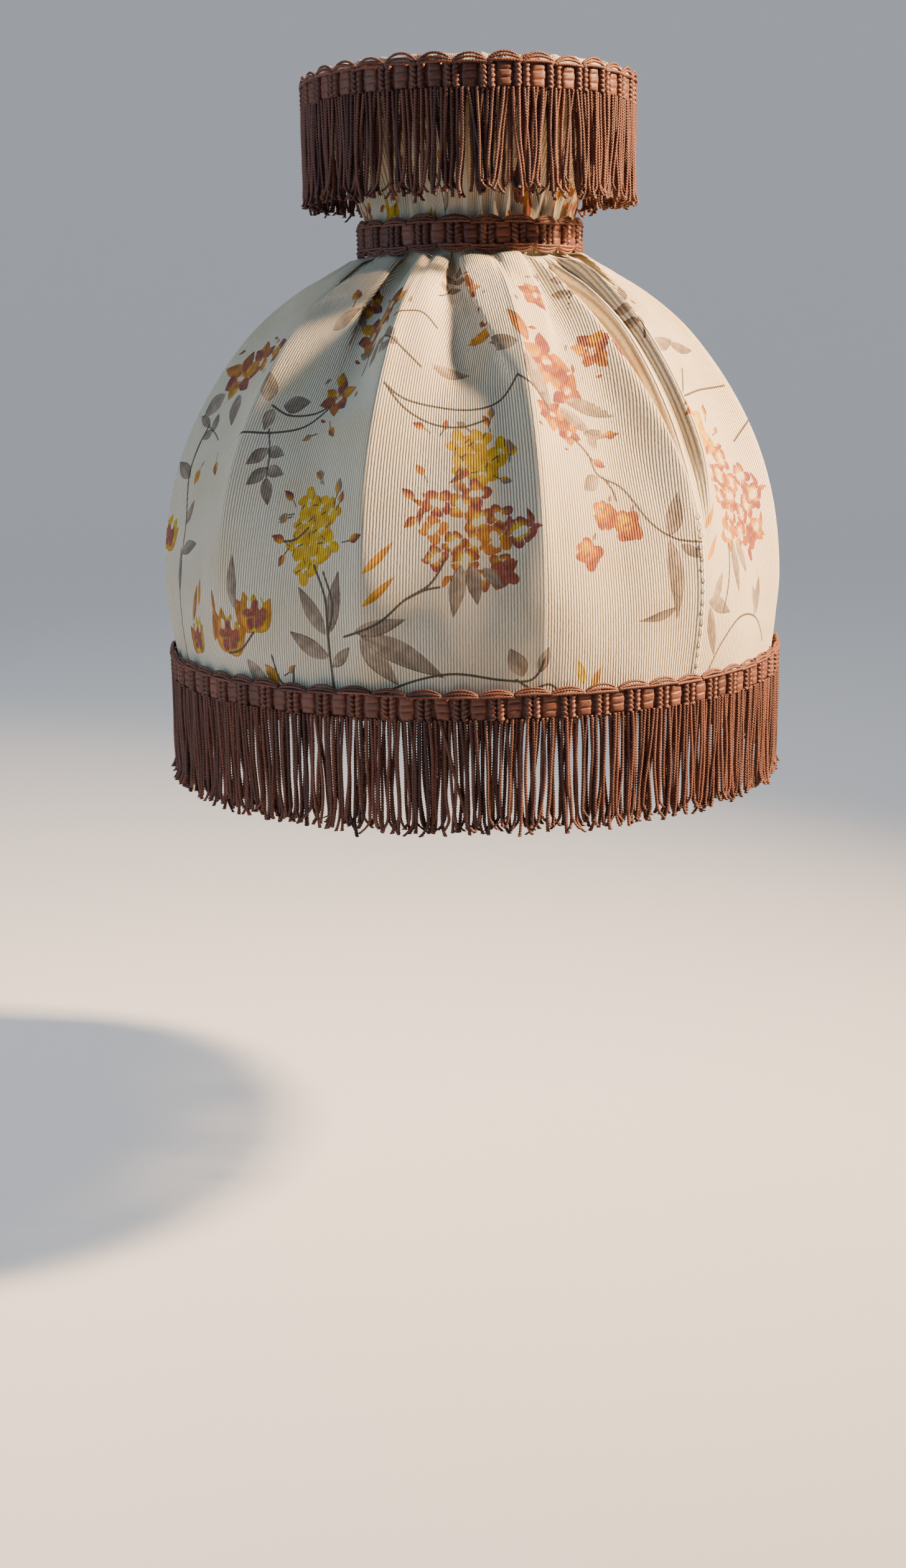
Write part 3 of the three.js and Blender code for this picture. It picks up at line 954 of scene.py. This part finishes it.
def open_lap(share, v):
    """The gutter beside the seam rib, at shares of a panel from it.

    The left sheet ends in a raised edge, the cloth drops behind it, and rises over the rib to a second
    ridge."""
    _, low, top, start, _, bend = SEAM_TUCK
    along = np.clip((v - start) / (180 - start), 0, 1)
    edge = np.minimum(low + (top - low) * along**bend - 1, -0.03)
    drop = np.minimum(edge + 0.045, -0.055)
    deep = 7.0 * np.clip((-edge - 0.03) / 0.10, 0, 1)
    steps = [(edge - 0.22, 0), (edge, 1.5), (drop, -deep), (np.maximum(drop, -0.10), -deep)]
    steps += [(-0.028, -1.7), (0.03, -1.4), (0.11, 4.2), (0.38, 0)]
    level = 0 * v
    steps = [(place + level, height + level) for place, height in steps]
    out = 0 * share
    for (place, height), (next_place, next_height) in zip(steps, steps[1:]):
        gap = np.maximum(next_place - place, 0.002)
        rise = (next_height - height)[:, None]
        out = out + rise * smoothstep(share, place[:, None], (place + gap)[:, None])
    return out * (smoothstep(v, 46, 84) * (1 - smoothstep(v, 156, 175)))[:, None]


def dome_panel(dome, panel):
    """One panel's cloth from the lower edge to the neck: its 3D points and cloth coordinates."""
    rows = int((dome.length + dome.hem) / POINT_SPACING) + 1
    columns = int(PANEL_CLOTH / POINT_SPACING) + 1
    v = np.linspace(-dome.hem, dome.length, rows)
    radius, z = dome.at(v)
    normal_r, normal_z = dome.normal(v)
    width = radius * PANEL_ANGLE
    excess = np.where(v > 0, np.clip(PANEL_CLOTH - width, 0, None), 0)

    tucks = []
    hidden = 0
    for side, low, top, start, share, bend in panel_tucks(panel):
        along = np.clip((v - start) / (dome.length - start), 0, 1)
        edge = width * (low + (top - low) * along**bend)
        room = np.where(side > 0, edge, width - edge) - 0.1 * width
        deep = np.minimum(share * excess / 2 * smoothstep(v, start, start + TUCK_RUN), room)
        deep = np.maximum(deep, 0.001)
        tucks.append({"side": side, "edge": edge, "deep": deep, "start": start})
        hidden = hidden + 2 * deep
    scale = width / (PANEL_CLOTH - hidden)

    base = np.linspace(0, PANEL_CLOTH, columns)
    taken = 0
    marks = []
    for tuck in tucks:
        tuck["from"] = tuck["edge"] / scale + taken
        taken = taken + 2 * tuck["deep"]
        weight = smoothstep(tuck["deep"], 0.2, 1.5)
        for step in (0, 1, 2):
            reached = tuck["from"] + step * tuck["deep"]
            settled = reached[SETTLED_ROW]
            marks.append(settled + (reached - settled) * weight)
    cloth_u = np.empty((rows, columns))
    for row in range(rows):
        knots = np.array([0] + [mark[SETTLED_ROW] for mark in marks] + [PANEL_CLOTH])
        moved = np.array([0] + [mark[row] for mark in marks] + [PANEL_CLOTH])
        cloth_u[row] = np.interp(base, knots, np.maximum.accumulate(moved))

    gone = 0
    for tuck in tucks:
        gone = gone + np.clip(cloth_u - tuck["from"][:, None], 0, 2 * tuck["deep"][:, None])
    across = (cloth_u - gone) * scale[:, None]
    lift = np.zeros_like(across)
    for tuck in tucks:
        deep = tuck["deep"][:, None]
        q = (cloth_u - tuck["from"][:, None]) / deep
        inside = (q > 0) & (q < 2)
        swing = 1 - np.abs(q - 1)
        across = np.where(inside, across - tuck["side"] * deep * swing, across)
        beyond = (across - tuck["edge"][:, None]) * tuck["side"]
        gap = 0.5 * smoothstep(deep, 0, 2.0)
        over = np.where(tuck["side"] > 0, q <= 0, q >= 2)
        under = np.where(tuck["side"] > 0, q >= 2, q <= 0)
        level = 1 - q if tuck["side"] > 0 else q - 1
        layer = np.where(over, np.exp(-(np.clip(-beyond - deep, 0, None) / 4) ** 2), 0)
        layer = np.where(under, -np.exp(-(np.clip(beyond, 0, None) / 3) ** 2), layer)
        layer = np.where(inside, level, layer)
        growth = smoothstep(v, tuck["start"] - 22, tuck["start"] + 12)[:, None]
        soft = 3.5 - 2.9 * smoothstep(v, tuck["start"] - 15, tuck["start"] + 15)[:, None]
        fade = np.exp(-(beyond / 8) ** 2)
        lip = -np.tanh(beyond / soft) * fade * TUCK_LIP * growth
        lip = np.where(inside, TUCK_LIP * growth * level * 0.3, lip)
        lift += gap * layer + lip

    share = across / width[:, None]
    window = smoothstep(share, 0, 0.10) * smoothstep(1 - share, 0, 0.10)
    sag = PANEL_SAG * smoothstep(v, 0, 92) ** 0.75 * (1 - 0.38 * smoothstep(v, 90, 150))
    sag = sag * (1 - smoothstep(v, 148, 176))
    swell = 1.3 * (smoothstep(v, 118, 160) - smoothstep(v, 168, 177))[:, None]
    u = cloth_u + panel * PANEL_CLOTH
    wander = 0.30 * np.sin(u / 11 + v[:, None] / 17) * np.sin(v[:, None] / 23 + panel)
    wander += 0.16 * np.sin(u / 4.1 - v[:, None] / 31 + panel)
    bound = 1 - 0.8 * smoothstep(v, 169, 176)[:, None]
    out = -sag[:, None] * ridge_profile(share)
    out += (lift + wander + swell * 4 * share * (1 - share)) * window * bound
    middle_low, middle_top, start, depth, left, right = VALLEYS.get(panel, TYPICAL_VALLEY)
    along = smoothstep(v, start, 160)
    middle = (middle_low + (middle_top - middle_low) * along)[:, None]
    left = (left * (1 - 0.45 * along))[:, None]
    right = (right * (1 - 0.45 * along))[:, None]
    reach = smoothstep(v, start, start + 34) * (1 - 0.55 * along) * (1 - smoothstep(v, 168, 177))
    spread = np.where(share < middle, left, right)
    out -= depth * reach[:, None] * np.exp(-((share - middle) / spread) ** 2) * window
    if panel == SEAM_PANEL:
        out += open_lap(share, v)
    if (panel + 1) % RIB_COUNT == SEAM_PANEL:
        out += open_lap(share - 1, v)
        from_edge = width[:, None] - across
        flap = 0.5 * (1 - smoothstep(from_edge, 1.8, 3.4)) * smoothstep(from_edge, 0, 0.4)
        out += flap * (smoothstep(v, 4, 12) * (1 - smoothstep(v, 158, 168)))[:, None]
    bearing = RIB_BEARING + (panel + share) * PANEL_ANGLE
    height = z[:, None] + out * normal_z[:, None]
    points = place_round(radius[:, None] + out * normal_r[:, None], bearing, height)
    return points.reshape(-1, 3), grid_quads(rows, columns), u, v[:, None] + 0 * u


def add_dome_cover(material):
    dome = Outline(DOME_OUTLINE, DOME_HEM_POINTS)
    for panel in range(RIB_COUNT):
        points, faces, u, v = dome_panel(dome, panel)
        name = f"dome_cover_panel_{panel + 1:02d}"
        values = printed_values(u, v)
        piece = make_piece(name, points, faces, values, material, ["dome_cover"])


COLLAR_PLEATS = 40
COLLAR_CLOTH = 440.0
COLLAR_QUARTERS = 4
COLLAR_PRINT_STRETCH = 1.3
COLLAR_PRINT_START = 48


def add_collar_cover(material):
    """Gathered cloth: narrow uneven pleats that open towards the top ring."""
    collar = Outline(COLLAR_OUTLINE)
    rows = int(collar.length / POINT_SPACING) + 1
    v = np.linspace(0, collar.length, rows)[:, None]
    radius, z = collar.at(v)
    normal_r, normal_z = collar.normal(v)
    columns = int(COLLAR_CLOTH / COLLAR_QUARTERS / POINT_SPACING) + 1
    for quarter in range(COLLAR_QUARTERS):
        t = (quarter + np.linspace(0, 1, columns)[None, :]) / COLLAR_QUARTERS
        turn = 2 * math.pi * t
        uneven = 0.10 * np.sin(7 * turn + 1) + 0.06 * np.sin(17 * turn + 2 + v / 30)
        phase = COLLAR_PLEATS * turn + 2.2 * np.sin(3 * turn) + 1.3 * np.sin(8 * turn + v / 40)
        depth = (0.25 + 1.9 * smoothstep(v, 4, 20)) * (1 - 0.85 * smoothstep(v, 40, 52))
        depth = depth * (0.75 + 0.25 * np.sin(5 * turn + 0.7))
        fold = np.sin(phase) + 0.35 * np.sin(2 * phase + v / 12)
        sideways = 0.55 * np.cos(phase) * depth / radius
        out = depth * (fold - 1.2) * (1 + uneven)
        bearing = RIB_BEARING + turn + sideways * smoothstep(v, 2, 10)
        points = place_round(radius + out * normal_r, bearing, z + out * normal_z).reshape(-1, 3)
        u = COLLAR_PRINT_STRETCH * COLLAR_CLOTH * t + 0 * v
        values = printed_values(u, COLLAR_PRINT_START + v + 0 * u)
        name = f"collar_cover_part_{quarter + 1}"
        faces = grid_quads(rows, columns)
        piece = make_piece(name, points, faces, values, material, ["collar_cover"])


# ---------------------------------------------------------------- trims

def twisted(path, frame_a, frame_b, radius, pitch, sides=8, groove=0.30, phase=0.0):
    """A two-ply cord along a path, its section spanned by two directions: points, faces and thread."""
    steps = np.linalg.norm(np.diff(path, axis=0), axis=1)
    length = np.concatenate([[0], np.cumsum(steps)])[:, None]
    angle = np.arange(sides)[None, :] * 2 * math.pi / sides
    turn = phase + 2 * math.pi * length / pitch
    ring = radius * (1 - groove * (0.5 - 0.5 * np.cos(2 * angle)))
    a = (ring * np.cos(angle + turn))[..., None]
    b = (ring * np.sin(angle + turn))[..., None]
    points = path[:, None, :] + a * frame_a + b * frame_b
    cap = np.array([[k, k + 1, sides - 2 - k, sides - 1 - k] for k in range(sides // 2 - 1)])
    end_cap = cap + (len(path) - 1) * sides
    faces = np.vstack([grid_quads(len(path), sides, closed=True), cap[:, ::-1], end_cap])
    return points.reshape(-1, 3), faces, point_rows(angle * radius, length, 0.0)


ALONG = np.array([1.0, 0.0, 0.0])
OUT = np.array([0.0, 0.0, 1.0])


def toned(points, faces, thread, tone):
    """A part of a trim, with one tone all over."""
    return points, faces, {"thread": thread, "tone": np.full(len(points), tone)}


def braid_repeat(pitch, both_edges, over_blocks, draw):
    """One repeat of the braid, flat: x along it, y up from its lower edge, z outwards."""
    parts = []
    tilt = draw.normal(0, 0.03)
    high = 7.7 + draw.normal(0, 0.12)
    low = 1.2 if both_edges else 0.6
    # padded satin block, pinched twice across
    across = np.linspace(-1, 1, 13)[None, :]
    up = np.linspace(-1, 1, 25)[:, None]
    wide = 2.7 + draw.normal(0, 0.1)
    crown = (1 - np.abs(across) ** 3.2) ** 0.5 * (1 - np.abs(up) ** 8) ** 0.5
    dents = 0.0
    for at in (-0.30 + draw.normal(0, 0.05), 0.36 + draw.normal(0, 0.05)):
        pinch = 0.35 + 0.65 * np.exp(-(across / 0.6) ** 2)
        dents = dents + 0.55 * np.exp(-((up - at - 0.05 * across) / 0.07) ** 2) * pinch
    swell = 1 + 0.06 * np.cos(up * 5)
    x = across * wide * swell + tilt * up * high / 2
    y = low + high / 2 + up * high / 2 + 0.18 * across * tilt * 10
    depth = 0.25 + 1.25 * crown - dents * crown
    block = (point_rows(x, y, depth), grid_quads(up.size, across.size), point_rows(x, y, 0.0))
    parts.append(toned(*block, 0.55 + draw.normal(0, 0.12)))
    # two chain-stitched columns between the blocks
    for side in (-1, 1):
        centre = pitch / 2 + side * 1.25 + draw.normal(0, 0.06)
        t = np.linspace(0, 1, 30)
        lump = 0.07 * np.sin(t * high / 1.55 * 2 * math.pi + side)
        sway = centre + 0.10 * np.sin(t * 16 + side)
        path = np.stack([sway, low + 0.1 + t * (high - 0.2), 0.75 + lump], axis=-1)
        column = twisted(path, OUT, ALONG, 1.42, 3.1 * side)
        parts.append(toned(*column, 0.42 + draw.normal(0, 0.12)))
    # arcs of twisted strands along the scalloped edge
    edges = [(low + high - 0.15, 1)] + ([(low + 0.15, -1)] if both_edges else [])
    for level, way in edges:
        start = -pitch / 2 if over_blocks else 0.0
        arcs = ((2.3, 0.0, 0.5, 0.9), (1.25, 0.1, 0.52, 1.25), (0.25, 0.05, 0.52, 1.5))
        for rise, lower, thick, deep in arcs:
            t = np.linspace(0, 1, 34)
            hump = np.sin(math.pi * t) ** 0.6
            bulge = rise * (1.3 if over_blocks else 1.0) * (1 + draw.normal(0, 0.06))
            x = start + t * pitch
            y = level + way * (lower + bulge * hump - 0.25)
            z = deep + 0.35 * hump
            path = np.stack([x, y, z], axis=-1)
            slope = slopes(path)
            frame_a = np.stack([-slope[:, 1], slope[:, 0], 0 * t], axis=-1)[:, None, :]
            strand = twisted(path, frame_a, OUT, thick, 1.9, 6, phase=draw.uniform(0, 6))
            parts.append(toned(*strand, 0.55 + draw.normal(0, 0.15)))
    # backing band that everything is sewn to
    across = np.linspace(0, 1, 7)[None, :] * pitch - pitch / 2
    up = np.linspace(low - 0.2, low + high + 0.1, 5)[:, None]
    depth = 0.2 + 0.75 * (np.abs(across) > 2.2) * (np.abs(up - low - high / 2) < high / 2)
    points = point_rows(across, up, depth)
    parts.append(toned(points, grid_quads(up.size, across.size), points, 0.4))
    return join_meshes(parts)


def add_braid(name, trim, pieces, both_edges, over_blocks, material):
    repeats = trim["repeats"]
    pitch = 2 * math.pi * (trim["radius"] + BRAID_SEAT) / repeats
    draw = np.random.default_rng(repeats)
    for number, indices in enumerate(np.array_split(np.arange(repeats), pieces)):
        parts = []
        for index in indices:
            points, faces, values = braid_repeat(pitch, both_edges, over_blocks, draw)
            bearing = (index * pitch + points[:, 0]) / (trim["radius"] + BRAID_SEAT)
            bob = 0.25 * math.sin(index * 1.9) + 0.2 * math.sin(index * 0.7)
            z = trim["top"] - BRAID_HEIGHT + points[:, 1] + bob
            parts.append((place_round(trim["radius"] + points[:, 2], bearing, z), faces, values))
        points, faces, values = join_meshes(parts)
        make_piece(f"{name}_{number + 1}", points, faces, values, material, [name])


def tuft_edges(length, draw):
    """Where one tuft of cords ends and the next begins, along a fringe that closes on itself."""
    edges = [0.0]
    while edges[-1] < length:
        edges.append(edges[-1] + draw.uniform(4, 15))
    return np.array(edges) * length / edges[-1]


def cord_row(trim, cords, layer, indices, draw_seed):
    """Hanging twisted cords that gather into tufts, with tips that curl; cords is how many go round."""
    parts = []
    girth = 2 * math.pi * trim["radius"]
    draw = np.random.default_rng(draw_seed)
    edges = tuft_edges(girth, draw)
    leans = draw.normal(0, 0.9, len(edges))
    pulls = draw.uniform(0.05, 0.42, len(edges)) * trim["tufting"]
    sides = 6
    t = np.linspace(0, 1, int(trim["fringe"] / 0.25))
    for index in indices:
        draw = np.random.default_rng([draw_seed, int(2 * index)])
        base = index * 2 * math.pi / cords + draw.normal(0, 0.15) / trim["radius"]
        arc = (base * trim["radius"]) % girth
        tuft = int(np.searchsorted(edges, arc, side="right")) - 1
        middle = (edges[tuft] + edges[min(tuft + 1, len(edges) - 1)]) / 2
        lean = (middle - arc) * pulls[tuft] + leans[tuft] + draw.normal(0, 0.6)
        if draw.random() < 0.06:
            lean += draw.choice([-1, 1]) * draw.uniform(2.5, 6)
        length = trim["fringe"] + draw.normal(-0.4, 0.8) - abs(draw.normal(0, 0.9))
        bow = draw.normal(0, 0.6)
        sway = draw.uniform(0, 6)
        hook = draw.normal(0, 1.8)
        kick = draw.normal(0.2, 0.9)
        curl = np.clip((t - 0.88) / 0.12, 0, 1) ** 1.7
        x = lean * t**1.3 + bow * np.sin(math.pi * t) + 0.32 * np.sin(8 * t + sway) * t + hook * curl
        r = trim["radius"] + layer + draw.normal(0, 0.22) + 0.5 * np.sin(5 * t + sway) * t + kick * curl
        z = trim["top"] - BRAID_HEIGHT + 0.9 - (length + 0.9) * t
        bearing = base + x / trim["radius"]
        path = place_round(r, bearing, z)
        out = outwards(bearing.mean())
        side = np.cross([0, 0, 1.0], out)
        size = 0.69 + draw.normal(0, 0.04)
        points, faces, thread = twisted(path, side, out, size, -1.7, sides, 0.42, sway)
        flare = np.repeat(1 + 0.25 * np.clip((t - 0.965) / 0.035, 0, 1), sides)[:, None]
        centre = np.repeat(path, sides, axis=0)
        points = centre + (points - centre) * flare
        # painted shade: cords of the inner layer, behind the outer one, are toned a little darker; the
        # rest of the tone differs at random
        tone = np.clip(0.45 + 0.1 * layer + draw.normal(0, 0.22), 0, 1)
        parts.append(toned(points, faces, thread, tone))
    return parts


def add_fringe(name, trim, pieces, material):
    """Two layers of cords, the outer one half a step further round."""
    per_layer = trim["cords"] // 2
    for number, indices in enumerate(np.array_split(np.arange(per_layer), pieces)):
        parts = cord_row(trim, per_layer, -0.2, indices, 3)
        parts += cord_row(trim, per_layer, 1.2, indices + 0.5, 5)
        points, faces, values = join_meshes(parts)
        make_piece(f"{name}_{number + 1:02d}", points, faces, values, material, [name])


# ---------------------------------------------------------------- wire frame

WELD_GAP = 0.35
NO_TWIST = 1e6
RIB_DOME_STATIONS = [0.14, 0.24, 0.36, 0.48, 0.6, 0.7, 0.79]
RIB_COLLAR_STATIONS = [0.45, 0.66]
ARM_COUNT = 3
FIRST_ARM = 41
STITCH_COUNT = 15
STITCH_PITCH = 3.4


def turned_wire(profile, bearing, diameter):
    """A round wire whose centre line stays at one bearing."""
    path = place_round(profile[:, 0], bearing, profile[:, 1])
    side, across = upright_frame(path, bearing)
    points, faces, thread = twisted(path, side, across, diameter / 2, NO_TWIST, 12, 0.0)
    return points, faces, {"thread": thread}


def rib_profile():
    """One rib's centre line: up inside the dome, through the neck ring and out to the top ring."""
    clear = RING_WIRE / 2 + WELD_GAP
    neck = NECK_RING[0] - clear - RIB_WIRE / 2 - 0.6
    outline = smooth_curve(DOME_OUTLINE[DOME_HEM_POINTS:])
    collar = smooth_curve(COLLAR_OUTLINE[:5])
    route = [(BOTTOM_RING[0], BOTTOM_RING[1] + clear)]
    route += [inset(outline, share, RIB_INSET) for share in RIB_DOME_STATIONS]
    route += [(neck + 2.3, NECK_RING[1] - 7.6), (neck, NECK_RING[1]), (neck + 2.3, NECK_RING[1] + 9)]
    route += [inset(collar, share, RIB_INSET + 1) for share in RIB_COLLAR_STATIONS]
    route += [(TOP_RING[0] - WELD_GAP, TOP_RING[1] - clear)]
    return smooth_curve(route, 8)


def inset(curve, share, depth):
    """The point a share of the way along a curve's points, moved inwards."""
    index = int(share * (len(curve) - 1))
    step = curve[index + 1] - curve[index - 1]
    step = step / np.linalg.norm(step)
    return curve[index] + depth * np.array([-step[1], step[0]])


def add_ribs(material):
    profile = rib_profile()
    for index in range(RIB_COUNT):
        points, faces, values = turned_wire(profile, RIB_BEARING + index * PANEL_ANGLE, RIB_WIRE)
        node = f"rib_{index + 1:02d}"
        make_piece(f"{node}_wire", points, faces, values, material, [node])


def add_taped_ring(name, ring, material):
    """A ring wire under cotton tape, wound at a slant so that each turn laps the last."""
    radius, z = ring
    tape_width = 7.5
    sides = 12
    laps = round(2 * math.pi * radius / tape_width)
    around = np.linspace(0, 2 * math.pi, laps * 14, endpoint=False)[:, None]
    section = np.arange(sides)[None, :] * 2 * math.pi / sides
    lap = (around * laps / (2 * math.pi) + section / (2 * math.pi)) % 1
    wire = RING_WIRE / 2 + 0.12 + 0.22 * lap ** 0.5 + 0.03 * np.sin(around * 37)
    points = place_round(radius + wire * np.cos(section), around, z + wire * np.sin(section))
    faces = grid_quads(len(around), sides, closed=True, ring=True)
    values = {"thread": point_rows(around * radius, section * 1.6, lap)}
    make_piece(f"{name}_taped", points.reshape(-1, 3), faces, values, material, [name])


def add_fitter(material):
    """A flat ring with eased edges, and three arms down to the bottom ring."""
    inner, outer, thick, ease = 20.5, 27.5, 1.5, 0.3
    corners = [(outer - ease, 0), (outer, ease), (outer, thick - ease), (outer - ease, thick),
               (inner + ease, thick), (inner, thick - ease), (inner, ease), (inner + ease, 0)]
    around = np.linspace(0, 2 * math.pi, 120, endpoint=False)[:, None]
    r = np.array([c[0] for c in corners])[None, :]
    z = np.array([c[1] for c in corners])[None, :]
    points = place_round(r + 0 * around, around, z + 0 * around).reshape(-1, 3)
    faces = grid_quads(len(around), len(corners), closed=True, ring=True)
    values = {"thread": points}
    make_piece("fitter_ring_plate", points, faces, values, material, ["fitter_ring"])
    start = outer + WELD_GAP
    end = BOTTOM_RING[0] - RING_WIRE / 2 - WELD_GAP
    level = thick / 2
    route = [(start, level), (start + 22, level), (start + 44, level - 1.2)]
    route += [(end - 14, BOTTOM_RING[1] + 1.4), (end, BOTTOM_RING[1])]
    for index in range(ARM_COUNT):
        bearing = (FIRST_ARM + 360 // ARM_COUNT * index) * DEGREE
        points, faces, values = turned_wire(smooth_curve(route, 10), bearing, RING_WIRE)
        node = f"fitter_arm_{index + 1}"
        make_piece(f"{node}_wire", points, faces, values, material, [node])


def add_seam_stitches(material):
    """Pale hand stitches along the lapped seam on the front right rib."""
    dome = Outline(DOME_OUTLINE, DOME_HEM_POINTS)
    draw = np.random.default_rng(8)
    parts = []
    for index in range(STITCH_COUNT):
        middle = 13 + index * STITCH_PITCH + draw.normal(0, 0.25)
        length = 2.3 + draw.normal(0, 0.3)
        t = np.linspace(-0.5, 0.5, 9)
        v = middle + t * length
        radius, z = dome.at(v)
        normal_r, normal_z = dome.normal(v)
        rise = 0.62 + 0.25 * np.cos(math.pi * t) - 0.9 * np.abs(2 * t) ** 6 * 0.5
        aside = 1.1 + draw.normal(0, 0.1) + 0.4 * t
        bearing = RIB_BEARING + SEAM_PANEL * PANEL_ANGLE - aside / radius
        path = place_round(radius + rise * normal_r, bearing, z + rise * normal_z)
        side, across = upright_frame(path, bearing.mean())
        points, faces, thread = twisted(path, side, across, 0.2, 1.2, 6, 0.2)
        parts.append((points, faces, {"thread": thread}))
    points, faces, values = join_meshes(parts)
    make_piece("seam_stitches", points, faces, values, material)


# ---------------------------------------------------------------- scene

add_camera()
add_stage()
add_lights()

CLOTH = cloth_material()
BRAID = thread_material("rayon_braid", (0.265, 0.098, 0.064, 1), (0.085, 0.035, 0.028, 1), 0.50, 0.42)
CORD = thread_material("rayon_cord", (0.235, 0.088, 0.058, 1), (0.072, 0.031, 0.028, 1), 0.54, 0.30)
LACQUER = lacquer_material("white_lacquer", (0.80, 0.78, 0.72, 1))
TAPE = tape_material()

add_dome_cover(CLOTH)
add_collar_cover(CLOTH)
add_braid("bottom_braid", BOTTOM_TRIM, 4, False, False, BRAID)
add_braid("neck_braid", NECK_TRIM, 2, True, False, BRAID)
add_braid("top_braid", TOP_TRIM, 2, False, True, BRAID)
add_fringe("bottom_fringe", BOTTOM_TRIM, 8, CORD)
add_fringe("top_fringe", TOP_TRIM, 4, CORD)

add_ribs(LACQUER)
add_taped_ring("bottom_ring", BOTTOM_RING, TAPE)
add_taped_ring("neck_ring", NECK_RING, TAPE)
add_taped_ring("top_ring", TOP_RING, TAPE)
add_fitter(LACQUER)
add_seam_stitches(TAPE)
